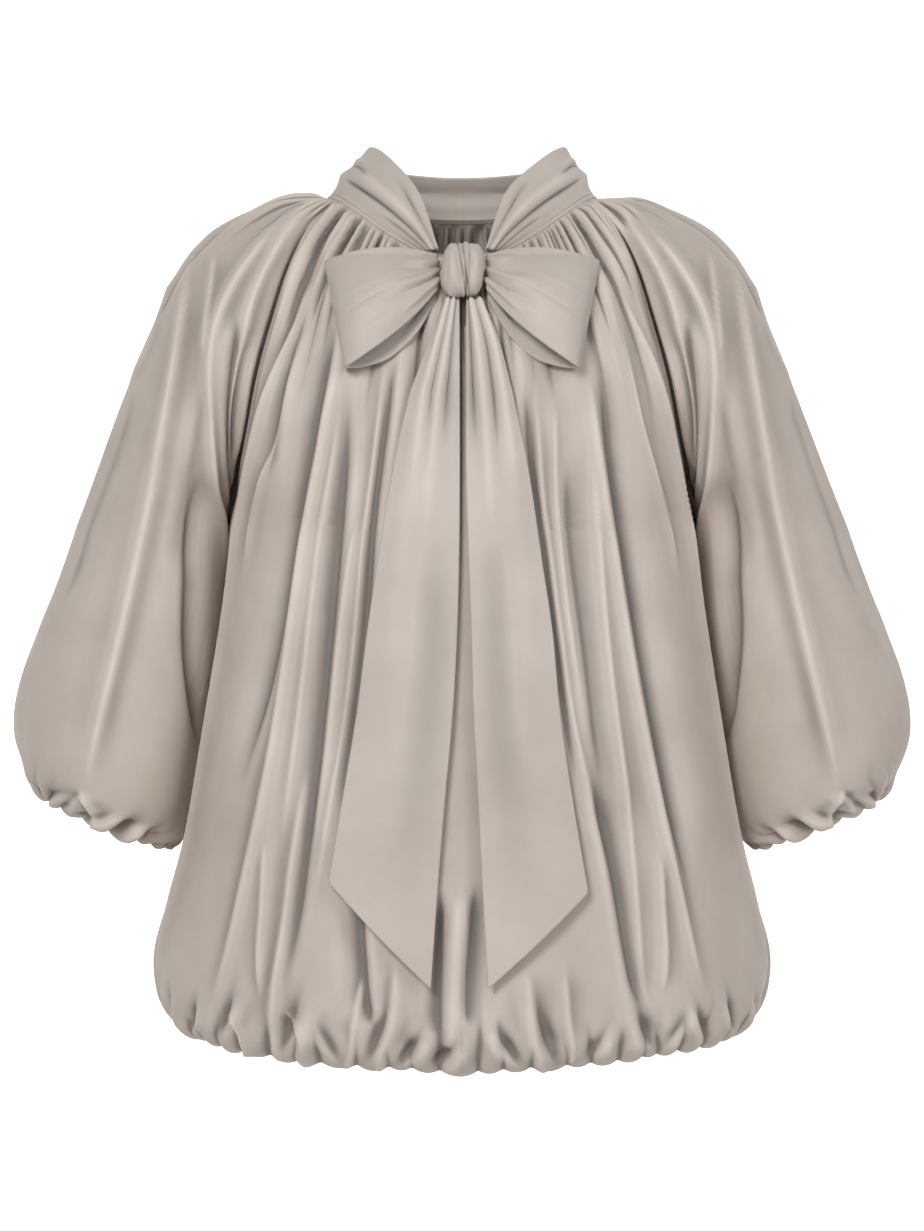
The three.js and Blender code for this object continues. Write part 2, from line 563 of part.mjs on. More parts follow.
piece('tie_tail_right', buildWall({
  rows: tailShares.map((v) => ({ v, cells: 8 })),
  form: tailForm(3, 4, -487, -551),
  height: tailFold,
  outward: 1,
  thickness: tieThickness,
}), tieSatin);

export default group;
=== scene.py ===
import math
import bpy
import numpy as np
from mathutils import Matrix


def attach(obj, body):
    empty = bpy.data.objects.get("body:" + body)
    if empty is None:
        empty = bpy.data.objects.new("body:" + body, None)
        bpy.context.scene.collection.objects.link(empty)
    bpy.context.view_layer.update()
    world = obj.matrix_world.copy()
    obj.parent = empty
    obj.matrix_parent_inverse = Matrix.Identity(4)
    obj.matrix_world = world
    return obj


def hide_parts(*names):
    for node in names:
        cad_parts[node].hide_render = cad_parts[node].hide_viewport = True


# A bow-neck blouse in washed satin, worn and filled out. Shapes are worked out in millimetres and
# turned to metres where a mesh is made. X right seen from the front, Y back, Z up, origin in the neck.
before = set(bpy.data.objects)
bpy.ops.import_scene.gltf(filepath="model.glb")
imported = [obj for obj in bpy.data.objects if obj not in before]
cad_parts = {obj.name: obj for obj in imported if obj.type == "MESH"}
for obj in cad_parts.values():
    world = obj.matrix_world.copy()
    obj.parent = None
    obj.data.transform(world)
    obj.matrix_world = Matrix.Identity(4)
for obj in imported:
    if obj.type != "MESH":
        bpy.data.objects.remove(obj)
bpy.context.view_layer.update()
luck = np.random.default_rng(23)


def smooth(low, high, value):
    t = np.clip((value - low) / (high - low), 0, 1)
    return t * t * (3 - 2 * t)


def mix(a, b, t):
    return a + (b - a) * t


def through(rows, at):  # a smooth curve through rows of numbers, at fractional row numbers
    rows = np.asarray(rows, float)
    longer = np.vstack([2 * rows[0] - rows[1], rows, 2 * rows[-1] - rows[-2]])
    at = np.asarray(at, float)
    low = np.clip(np.floor(at).astype(int), 0, len(rows) - 2)
    t = (at - low)[..., None]
    a, b, c, d = (longer[low + step] for step in range(4))
    return b + 0.5 * t * (c - a + t * (2 * a - 5 * b + 4 * c - d + t * (3 * (b - c) + d - a)))


def alongCurves(controls, share):  # points at shares of the length of each row's cubic curve
    corner = controls.reshape(-1, 4, 3)[:, None]

    def at(t):
        t = t[..., None]
        return ((1 - t) ** 3 * corner[:, :, 0] + 3 * (1 - t) ** 2 * t * corner[:, :, 1]
                + 3 * (1 - t) * t ** 2 * corner[:, :, 2] + t ** 3 * corner[:, :, 3])

    steps = np.linspace(0, 1, 41)
    legs = np.linalg.norm(np.diff(at(np.tile(steps, (len(corner), 1))), axis=1), axis=2)
    length = np.concatenate([np.zeros((len(corner), 1)), np.cumsum(legs, axis=1)], axis=1)
    return at(np.array([np.interp(share * row[-1], row, steps) for row in length])), length[:, -1]


def normalsOf(points, outward):
    normal = outward * np.cross(np.gradient(points, axis=1), np.gradient(points, axis=0))
    return normal / np.maximum(np.linalg.norm(normal, axis=2, keepdims=True), 1e-9)


# The cut of the blouse: the same sections as its solids.
cut = {
    "neck": {
        "halfWide": 97, "halfDeep": 75, "dropFront": 50, "dropBack": 10, "seamFront": 68, "seamBack": 105},
    "sleeveTilt": 22,
    "neckTop": 87,
    "hemBandHeight": 22,
    "cuffHeight": 20,
    # left half of each body section: centre Y, centre Z, how far the corner swings out and forward
    "front": [
        [-75, -50, 2, 22], [-97, -78, 2, 26], [-111, -110, 2, 32], [-121, -143, 3, 40], [-129, -176, 4, 48],
        [-135, -207, 4, 60], [-140, -234, 4, 82], [-144, -258, 12, 112], [-150, -298, 26, 118],
        [-154, -340, 36, 120], [-158, -384, 44, 124], [-161, -428, 46, 130], [-164, -471, 34, 134],
        [-167, -513, 14, 128], [-169, -552, 8, 126], [-167, -581, 8, 124], [-159, -599, 8, 118],
        [-147, -607, 8, 108], [-136, -603, 8, 100], [-130, -591, 8, 96], [-128, -574, 8, 95],
    ],
    "back": [
        [75, -10, 2, 22], [93, -34, 2, 24], [104, -66, 2, 30], [112, -101, 3, 36], [118, -137, 4, 42],
        [122, -172, 4, 50], [125, -206, 4, 66], [127, -240, 2, 90], [130, -284, 8, 98],
        [134, -328, 12, 102], [139, -374, 15, 106], [145, -420, 20, 112], [151, -465, 25, 116],
        [156, -508, 14, 118], [158, -548, 8, 118], [156, -577, 8, 116], [148, -594, 8, 110],
        [136, -602, 8, 100], [125, -598, 8, 92], [119, -586, 8, 88], [117, -569, 8, 87],
    ],
    "frontRaglan": [
        [-90, -28, -3], [-106, -44, -24], [-119, -55, -52], [-130, -61, -88],
        [-141, -61, -128], [-149, -52, -166], [-157, -32, -202], [-165, 5, -232],
    ],
    "backRaglan": [
        [-94, 19, 0], [-110, 33, -9], [-127, 46, -34], [-139, 55, -72],
        [-147, 58, -116], [-153, 51, -160], [-159, 34, -200], [-165, 5, -232],
    ],
    "sideSeam": [
        [-163, 5, -278], [-165, 5, -323], [-169, 5, -369], [-175, 5, -414], [-187, 4, -458], [-205, 2, -500],
        [-216, 0, -538], [-213, 0, -566], [-203, 0, -583], [-190, 0, -591], [-179, 0, -588],
        [-173, 0, -577], [-171, 0, -561],
    ],
    # sleeve sections to the underarm: top line, then swing off the front seam, the top and the back seam
    "sleeveCaps": [
        [-97, 5, 0, 0, 10, 11, 0, 6, 8], [-137, 6, -3, 12, 14, 26, 12, 12, 24],
        [-176, 7, -26, 18, 22, 42, 16, 18, 36], [-201, 7, -55, 20, 30, 56, 18, 24, 48],
        [-219, 7, -97, 20, 38, 68, 20, 30, 60], [-232, 7, -131, 18, 52, 80, 18, 44, 74],
        [-244, 7, -165, 14, 74, 92, 14, 70, 88], [-254, 7, -196, 8, 101, 101, 8, 101, 101],
    ],
    # closed sleeve sections below: distance down the arm, middle, half width, half depth, middle in Y
    "sleeveRings": [
        [320, 106, 54, 81, 7], [363, 100, 61, 87, 9], [405, 96, 69, 92, 11], [446, 90, 75, 95, 12],
        [476, 83, 73, 94, 12], [495, 76, 64, 87, 12], [506, 72.5, 54.5, 76, 12], [512, 70, 49, 62, 12],
        [509, 70, 46, 52, 12], [500, 70, 45, 47, 12], [491, 70, 45, 46, 12],
    ],
}
tilt = math.radians(cut["sleeveTilt"])
armDown = np.array([-math.sin(tilt), 0, -math.cos(tilt)])
armOut = np.array([-math.cos(tilt), 0, math.sin(tilt)])
underarm = len(cut["frontRaglan"]) - 1


def neckPoint(degrees):
    neck = cut["neck"]
    side, front = np.sin(np.radians(degrees)), np.cos(np.radians(degrees))
    drop = np.where(front > 0, neck["dropFront"] * np.abs(front) ** 2.8,
                    neck["dropBack"] * np.abs(front) ** 1.6)
    return np.stack([-neck["halfWide"] * side, -neck["halfDeep"] * front, -drop], axis=-1)


def bodyControls(sections, raglan, facing):
    sections = np.array(sections, float)
    seam = np.vstack([raglan, cut["sideSeam"]]).astype(float)
    zero = np.zeros(len(sections))
    centre = np.stack([zero, sections[:, 0], sections[:, 1]], axis=1)
    fall = sections[:, 1] - seam[:, 2]
    level = np.stack([0.5 * seam[:, 0], centre[:, 1], centre[:, 2] - 0.15 * fall], axis=1)
    corner = seam + np.stack([-sections[:, 2], facing * sections[:, 3], 0.25 * fall], axis=1)
    return np.hstack([centre, level, corner, seam])


def armPoint(along, out, y):
    point = np.outer(along, armDown) + np.outer(out, armOut)
    point[:, 1] = y
    return point


def sleeveControls(raglan, facing, swings):
    caps, rings = np.array(cut["sleeveCaps"], float), np.array(cut["sleeveRings"], float)
    seam, top = np.array(raglan, float), caps[:, :3]
    out, reach, level = caps[:, swings].T
    ahead = np.array([0, facing, 0])
    upper = np.hstack([seam, seam + np.outer(out, armOut) + np.outer(reach, ahead),
                       top + np.outer(level, ahead), top])
    along, middle, halfWide, halfDeep, back = rings.T
    far = back + facing * halfDeep * 4 / 3
    lower = np.hstack([armPoint(along, middle - halfWide, back), armPoint(along, middle - halfWide, far),
                       armPoint(along, middle + halfWide, far), armPoint(along, middle + halfWide, back)])
    return np.vstack([upper, lower])


controls = {
    "front": bodyControls(cut["front"], cut["frontRaglan"], -1),
    "back": bodyControls(cut["back"], cut["backRaglan"], 1),
    "sleeveFront": sleeveControls(cut["frontRaglan"], -1, [3, 4, 5]),
    "sleeveBack": sleeveControls(cut["backRaglan"], 1, [6, 7, 8]),
}


def panelGrid(curves, share, v, neckFrom, neckTo):  # one side's points, pulled on to the neck seam at the top
    points, half = alongCurves(through(curves, v), share)
    start, _ = alongCurves(curves[:1], share)
    pull = np.clip(1 - v, 0, 1)[:, None, None] ** 2
    seam = neckPoint(mix(neckFrom, neckTo, share))
    return points + pull * (seam[None] - start), half


def bodyGrid(name, u, v):
    neck = cut["neck"]
    neckFrom, neckTo = (0, neck["seamFront"]) if name == "front" else (180, neck["seamBack"])
    points, half = panelGrid(controls[name], np.abs(u), v, neckFrom, neckTo)
    points[:, u > 0, 0] *= -1
    return points, u[None, :] * half[:, None]


def sleeveGrid(side, u, v):
    points = np.empty((len(v), len(u), 3))
    around = np.empty((len(v), len(u)))
    for name, chosen, seamAt in (("sleeveFront", u < 0, "seamFront"), ("sleeveBack", u >= 0, "seamBack")):
        turned = 1 - np.abs(u[chosen])
        part, half = alongCurves(through(controls[name], v), turned)
        start, _ = alongCurves(controls[name][:1], turned)
        pull = np.clip(1 - v, 0, 1)[:, None, None] ** 2
        part += pull * (neckPoint(mix(cut["neck"][seamAt], cut["neckTop"], turned))[None] - start)
        points[:, chosen] = part
        around[:, chosen] = u[chosen][None] * half[:, None]
    points[:, :, 0] *= side
    return points, around


# Creases. A row of a fold table: from and to (sections), four places round the cloth in mm from its middle,
# height in mm, half width in mm, and how sharp its line is from 0 to 1. Each fold leans: lean 1 makes the
# side of a crest that faces away from the middle the steep one, -1 the side that faces it.
def foldHeight(table, v, around, lean):
    total = np.zeros_like(around)
    for start, end, first, second, third, last, height, half, sharp in table:
        t = np.clip((v - start) / (end - start), 0, 1)
        line = through([[first], [second], [third], [last]], 3 * t)[:, 0]
        fade = smooth(0, 0.2, t) * smooth(0, 0.2, 1 - t)
        off = around - line[:, None]
        steep = off * np.sign(height * (first + last)) * lean > 0
        off = off / (half * np.where(steep, 0.6, 1.5))
        soft = np.exp(-off ** 2)
        crest = np.exp(-1.5 * (np.sqrt(off ** 2 + 0.02) - 0.14))
        total += height * fade[:, None] * mix(soft, crest, sharp)
    return total


def sleeveFrontFolds(table, points, around):
    # folds down the front of a sleeve, kept straight to the eye: from and to down the arm in mm, four
    # distances out from the arm's inner line, height, half width, sharpness. The steep side is the inner one.
    along, out = points @ armDown, points @ armOut
    slope = np.maximum(np.abs(np.gradient(out, axis=1) / np.gradient(around, axis=1)), 0.35)
    total = np.zeros_like(around)
    for start, end, first, second, third, last, height, half, sharp in table:
        t = np.clip((along - start) / (end - start), 0, 1)
        line = through([[first], [second], [third], [last]], 3 * t)[..., 0]
        off = (out - line) / slope
        off = off / (half * np.where(off * height < 0, 0.6, 1.5))
        crest = np.exp(-1.5 * (np.sqrt(off ** 2 + 0.02) - 0.14))
        total += height * smooth(0, 0.2, t) * smooth(0, 0.2, 1 - t) * mix(np.exp(-off ** 2), crest, sharp)
    return total


def creaseLines(limit, middlePitch, edgePitch):  # uneven places from -limit to limit
    places = [-limit]
    while places[-1] < limit:
        pitch = mix(middlePitch, edgePitch, min(abs(places[-1]) / limit, 1))
        places.append(places[-1] + pitch * luck.uniform(0.6, 1.45))
    return np.array(places)


def puffs(v, around, places, height, rise, drift=None, roundness=0.75, crested=None):
    # rounded swells of cloth between sharp creases; rise gives each swell's strength at a section.
    # From the first to the second section of crested the swells turn to crests with soft valleys.
    total = np.zeros_like(around)
    for row, section in enumerate(v):
        here = places if drift is None else places + drift(section)
        spot = np.clip(np.searchsorted(here, around[row]) - 1, 0, len(here) - 2)
        t = np.clip((around[row] - here[spot]) / np.maximum(here[spot + 1] - here[spot], 0.1), 0, 1)
        swell = np.sin(np.pi * t) ** roundness
        if crested:
            skewed = np.where(around[row] > 0, t, 1 - t) ** 0.7
            ridge = (1 - np.sqrt((2 * skewed - 1) ** 2 + 0.002)) ** 1.25
            swell = mix(swell, np.nan_to_num(ridge), smooth(crested[0], crested[1], section))
        total[row] = (height * rise(section))[spot] * swell
    return total


def crumple(along, around, size, seed):  # low uneven waves that run mostly down the cloth
    chance = np.random.default_rng(seed)
    total = np.zeros_like(around)
    for _ in range(9):
        across = chance.uniform(0.035, 0.11)
        down = chance.uniform(-0.022, 0.022)
        bend = chance.uniform(2, 7) * np.sin(along * chance.uniform(0.008, 0.02) + chance.uniform(0, 6))
        total += chance.uniform(0.4, 1) * np.sin(
            (around + bend) * across + along * down + chance.uniform(0, 6))
    return size * total / 2.2


def paintedLightMaskOf(height, around):  # -1 at the bottom of deep valleys, 1 on a sharp crest, against the cloth near it: the mask that paints shade and highlight into the colour
    total = np.zeros_like(height)
    for row, line in enumerate(height):
        step = max((around[row, -1] - around[row, 0]) / (len(line) - 1), 0.2)
        for reach, scale in ((11, 3.8), (2.6, 0.85)):  # mm
            count = 2 * max(int(round(reach / step)), 1) + 1
            near = np.pad(line, count // 2, mode="edge")
            total[row] += (line - np.convolve(near, np.ones(count) / count, mode="valid")) / scale
    return np.clip(total, -1, 1)


def downLength(points):  # distance down the cloth from its top edge
    legs = np.linalg.norm(np.diff(points, axis=0), axis=2)
    return np.vstack([np.zeros(points.shape[1]), np.cumsum(legs, axis=0)])


# Meshes
seamRoll = {"outwards": [0.5, 0.6, 0.2, 0.0], "behind": [0.5, 1.6, 3.5, 6.5]}


def turnEdge(points, outward, edge):  # a seam allowance: the edge rolls over and runs behind the cloth
    normal = normalsOf(points, outward)
    turned = {"left": points, "right": points[:, ::-1], "top": points.transpose(1, 0, 2),
              "bottom": points[::-1].transpose(1, 0, 2)}[edge]
    face = {"left": normal, "right": normal[:, ::-1], "top": normal.transpose(1, 0, 2),
            "bottom": normal[::-1].transpose(1, 0, 2)}[edge]
    outwards = turned[:, 0] - turned[:, 1]
    outwards /= np.maximum(np.linalg.norm(outwards, axis=1, keepdims=True), 1e-9)
    extra = [turned[:, 0] + outwards * a - face[:, 0] * b
             for a, b in zip(seamRoll["outwards"], seamRoll["behind"])]
    longer = np.concatenate([np.stack(extra[::-1], axis=1), turned], axis=1)
    return {"left": longer, "right": longer[:, ::-1], "top": longer.transpose(1, 0, 2),
            "bottom": longer.transpose(1, 0, 2)[::-1]}[edge]


def tuckUnderBand(points, seam):  # the neck edge goes up inside the neckband
    level = seam * [1, 1, 0]
    level /= np.linalg.norm(level, axis=1, keepdims=True)
    return np.concatenate([[seam - 3.4 * level + [0, 0, 3]], [seam - 1.5 * level + [0, 0, 0.8]], points])


def gridFaces(rows, columns, flip, closed=False, offset=0):
    index = np.arange(rows * columns).reshape(rows, columns) + offset
    if closed:
        index = np.hstack([index, index[:, :1]])
    faces = np.stack([index[:-1, :-1], index[1:, :-1], index[1:, 1:], index[:-1, 1:]], axis=-1).reshape(-1, 4)
    return faces[:, ::-1] if flip else faces


def arcs(points):  # cloth coordinates in mm: across from the middle column, and down
    across = np.linalg.norm(np.diff(points, axis=1), axis=2)
    across = np.hstack([np.zeros((len(points), 1)), np.cumsum(across, axis=1)])
    across -= across[:, [points.shape[1] // 2]]
    return np.stack([across, downLength(points)], axis=-1)


def makePiece(name, corners, faces, cloth, material, weld=0.02, paintedLightMask=None):
    mesh = bpy.data.meshes.new(name)
    mesh.from_pydata((corners * 0.001).tolist(), [], faces.tolist())
    # the mask for painted shade in valleys and a painted highlight on crests is stored on the points
    if paintedLightMask is not None:
        worn = mesh.attributes.new(name="paintedLightMask", type="FLOAT", domain="POINT")
        worn.data.foreach_set("value", paintedLightMask.astype(np.float32).ravel())
    layer = mesh.uv_layers.new(name="cloth")
    loops = np.empty(len(mesh.loops), dtype=np.int64)
    mesh.loops.foreach_get("vertex_index", loops)
    layer.data.foreach_set("uv", (cloth[loops] * 0.001).astype(np.float32).ravel())
    mesh.polygons.foreach_set("use_smooth", np.ones(len(mesh.polygons), dtype=bool))
    obj = bpy.data.objects.new(name, mesh)
    bpy.context.scene.collection.objects.link(obj)
    join = obj.modifiers.new("weld", "WELD")
    join.merge_threshold = weld * 0.001
    bpy.context.view_layer.objects.active = obj
    bpy.ops.object.modifier_apply(modifier="weld")
    obj.data.materials.append(material)
    return obj


def singleCloth(name, points, outward, material, paintedLightMask):
    cloth = arcs(points)
    faces = gridFaces(points.shape[0], points.shape[1], outward > 0)
    return makePiece(name, points.reshape(-1, 3), faces, cloth.reshape(-1, 2), material, paintedLightMask=paintedLightMask)


def edgeRound(points, thickness, axis):  # half thickness that rounds off at both edges
    legs = np.linalg.norm(np.diff(points, axis=axis), axis=2)
    run = np.cumsum(legs, axis=axis)
    run = np.concatenate([np.zeros_like(np.take(run, [0], axis=axis)), run], axis=axis)
    nearest = np.minimum(run, np.take(run, [-1], axis=axis) - run)
    return np.sqrt(np.clip(1 - (1 - np.clip(nearest / (thickness / 2), 0, 1)) ** 2, 0, 1))


def doubledCloth(name, middle, outward, thickness, material, closed=False, paintedLightMask=None):
    half = edgeRound(middle, thickness, 0) * thickness / 2
    if not closed:
        half = half * edgeRound(middle, thickness, 1)
    if closed:
        wide = np.concatenate([middle[:, -2:-1], middle, middle[:, 1:2]], axis=1)
        normal = normalsOf(wide, outward)[:, 1:-1]
    else:
        normal = normalsOf(middle, outward)
    rows, columns = middle.shape[:2]
    outer, inner = middle + normal * half[..., None], middle - normal * half[..., None]
    cloth = arcs(middle).reshape(-1, 2)
    faces = np.vstack([gridFaces(rows, columns, outward > 0),
                       gridFaces(rows, columns, outward < 0, offset=rows * columns)])
    corners = np.vstack([outer.reshape(-1, 3), inner.reshape(-1, 3)])
    # painted shade and highlight on the outer layer only
    if paintedLightMask is not None:
        paintedLightMask = np.vstack([paintedLightMask, 0 * paintedLightMask])
    return makePiece(name, corners, faces, np.vstack([cloth, cloth + [0.4, 0.4]]), material, 0.03, paintedLightMask)


# Materials
def linear(hexColour):  # sRGB hex to Blender's linear colour
    channels = [int(hexColour[i:i + 2], 16) / 255 for i in (1, 3, 5)]
    return [c / 12.92 if c <= 0.04045 else ((c + 0.055) / 1.055) ** 2.4 for c in channels] + [1]


def addNode(tree, kind, settings=None, inputs=None):
    node = tree.nodes.new(kind)
    for name, value in (settings or {}).items():
        setattr(node, name, value)
    for name, value in (inputs or {}).items():
        if isinstance(value, bpy.types.NodeSocket):
            tree.links.new(value, node.inputs[name])
        else:
            node.inputs[name].default_value = value
    return node


# Washed satin, woven and given a garment wash: a matt greige face with a soft sheen on every rounded fold,
# faint clouds of shade from the wash, fine slubs down the cloth and a slight pucker all over.
# The base colour also carries painted shade in the valleys and a painted highlight along the crests.
satinFinish = {
    "cloudSize": 60,  # mm, clouds of shade from the wash
    "slubWidth": 1.4, "slubLength": 26,  # mm, thicker threads that run down the cloth
    "threadSpacing": 0.9,  # mm, drawn coarser than the real 0.15 so that it shows
    "puckerSize": 14,  # mm, the slight crumple of washed cloth
    "paintedValleyShade": 0.42, "paintedCrestHighlight": 1.2,  # painted shade at the bottom of valleys and a painted highlight along crests, as factors on the colour
}


def washedSatin(name, pale, deep):
    material = bpy.data.materials.new(name)
    material.use_nodes = True
    tree = material.node_tree
    shader, output = tree.nodes["Principled BSDF"], tree.nodes["Material Output"]
    place = addNode(tree, "ShaderNodeTexCoord")
    clouds = addNode(tree, "ShaderNodeTexNoise", None, {
        "Vector": place.outputs["Object"], "Scale": 1000 / satinFinish["cloudSize"],
        "Detail": 4.0, "Roughness": 0.55})
    stretch = addNode(tree, "ShaderNodeMapping", None, {
        "Vector": place.outputs["UV"],
        "Scale": (1000 / satinFinish["slubWidth"], 1000 / satinFinish["slubLength"], 1)})
    slubs = addNode(tree, "ShaderNodeTexNoise", {"noise_dimensions": "2D"}, {
        "Vector": stretch.outputs["Vector"], "Scale": 1.0, "Detail": 2.0, "Roughness": 0.5})
    shade = addNode(tree, "ShaderNodeMapRange", None, {
        "Value": clouds.outputs["Fac"], "From Min": 0.3, "From Max": 0.7, "To Min": 0.0, "To Max": 1.0})
    grain = addNode(tree, "ShaderNodeMath", {"operation": "MULTIPLY_ADD"}, {
        0: slubs.outputs["Fac"], 1: 0.22, 2: shade.outputs["Result"]})
    colour = addNode(tree, "ShaderNodeMix", {"data_type": "RGBA"}, {
        0: grain.outputs["Value"], 6: linear(deep), 7: linear(pale)})
    # painted shade darkens the colour in valleys and a painted highlight lightens it along crests, following the
    # mask
    paintedLightMask = addNode(tree, "ShaderNodeAttribute", {"attribute_name": "paintedLightMask"})
    paintedShadeFactor = addNode(tree, "ShaderNodeMapRange", None, {
        "Value": paintedLightMask.outputs["Fac"], "From Min": -1.0, "From Max": 0.0,
        "To Min": satinFinish["paintedValleyShade"], "To Max": 1.0})
    paintedHighlightFactor = addNode(tree, "ShaderNodeMapRange", None, {
        "Value": paintedLightMask.outputs["Fac"], "From Min": 0.2, "From Max": 1.0,
        "To Min": 1.0, "To Max": satinFinish["paintedCrestHighlight"]})
    paintedLightFactor = addNode(tree, "ShaderNodeMath", {"operation": "MULTIPLY"}, {
        0: paintedShadeFactor.outputs["Result"], 1: paintedHighlightFactor.outputs["Result"]})
    paintedLightColour = addNode(tree, "ShaderNodeVectorMath", {"operation": "SCALE"}, {
        0: colour.outputs[2], "Scale": paintedLightFactor.outputs["Value"]})
    tree.links.new(paintedLightColour.outputs["Vector"], shader.inputs["Base Color"])
    gloss = addNode(tree, "ShaderNodeMapRange", None, {
        "Value": clouds.outputs["Fac"], "From Min": 0.3, "From Max": 0.7, "To Min": 0.62, "To Max": 0.55})
    tree.links.new(gloss.outputs["Result"], shader.inputs["Roughness"])
    threadScale = 1000 / satinFinish["threadSpacing"]
    threads = addNode(tree, "ShaderNodeMapping", None, {
        "Vector": place.outputs["UV"], "Rotation": (0, 0, math.radians(27)),
        "Scale": (threadScale / (2 * math.pi), threadScale / (2 * math.pi), 1)})
    twill = addNode(tree, "ShaderNodeTexWave", {"wave_type": "BANDS", "bands_direction": "X"}, {
        "Vector": threads.outputs["Vector"], "Scale": 1.0, "Distortion": 1.5, "Detail": 1.0})
    pucker = addNode(tree, "ShaderNodeTexNoise", None, {
        "Vector": place.outputs["Object"], "Scale": 1000 / satinFinish["puckerSize"],
        "Detail": 3.0, "Roughness": 0.6})
    first = addNode(tree, "ShaderNodeBump", None, {
        "Height": twill.outputs["Fac"], "Strength": 0.12, "Distance": 0.0001})
    second = addNode(tree, "ShaderNodeBump", None, {
        "Height": slubs.outputs["Fac"], "Strength": 0.25, "Distance": 0.00018,
        "Normal": first.outputs["Normal"]})
    third = addNode(tree, "ShaderNodeBump", None, {
        "Height": pucker.outputs["Fac"], "Strength": 0.35, "Distance": 0.0009,
        "Normal": second.outputs["Normal"]})
    tree.links.new(third.outputs["Normal"], shader.inputs["Normal"])
    shader.inputs["IOR"].default_value = 1.5
    shader.inputs["Specular IOR Level"].default_value = 0.35
    shader.inputs["Sheen Weight"].default_value = 0.08
    shader.inputs["Sheen Roughness"].default_value = 0.4
    shader.inputs["Sheen Tint"].default_value = linear("#EFE8E2")
    shader.inputs["Anisotropic"].default_value = 0.3
    tree.links.new(shader.outputs["BSDF"], output.inputs["Surface"])
    return material


bodySatin = washedSatin("washedSatinGreige", "#C9BEB5", "#BEB2A8")
tieSatin = washedSatin("washedSatinTie", "#C9BFB7", "#BFB4AB")


def finishPiece(obj, node, flat, area=None):
    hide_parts(node)
    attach(obj, "root")
    flatArea = flat[0] * flat[1] if area is None else area
    shown = sum(polygon.area for polygon in obj.data.polygons)
    print(f"{node}: {len(obj.data.polygons)} faces, {shown:.3f} m2 of surface, cut {flatArea:.3f} m2")


def sectionSteps(spans):  # spans of sections with their number of steps
    parts = [np.linspace(start, end, steps, endpoint=False) for start, end, steps in spans]
    return np.concatenate(parts + [[spans[-1][1]]])


def gatherLevels(levels, limit, v, flow, spread):
    # each level: pitch at the middle and at the side in mm, height, shortest and longest life in sections
    total = np.zeros_like(flow)
    for middlePitch, edgePitch, height, shortest, longest in levels:
        places = creaseLines(limit, middlePitch, edgePitch)
        count = len(places) - 1
        pitch = np.diff(places)
        swell = height * np.clip(pitch / np.mean(pitch), 0.5, 1.6) * luck.uniform(0.6, 1.2, count)
        life = luck.uniform(shortest, longest, count)

        def rise(section):
            return smooth(-0.04, 0.3, section) * (1 - smooth(0.4 * life, life, section))

        total += puffs(v, flow, places, swell, rise, crested=(1.6, 3.4))
        shown = smooth(-0.04, 0.3, v) * (1 - smooth(0.3, 0.5 * (shortest + longest), v))
        total -= 0.5 * height * shown[:, None]
    return total * spread


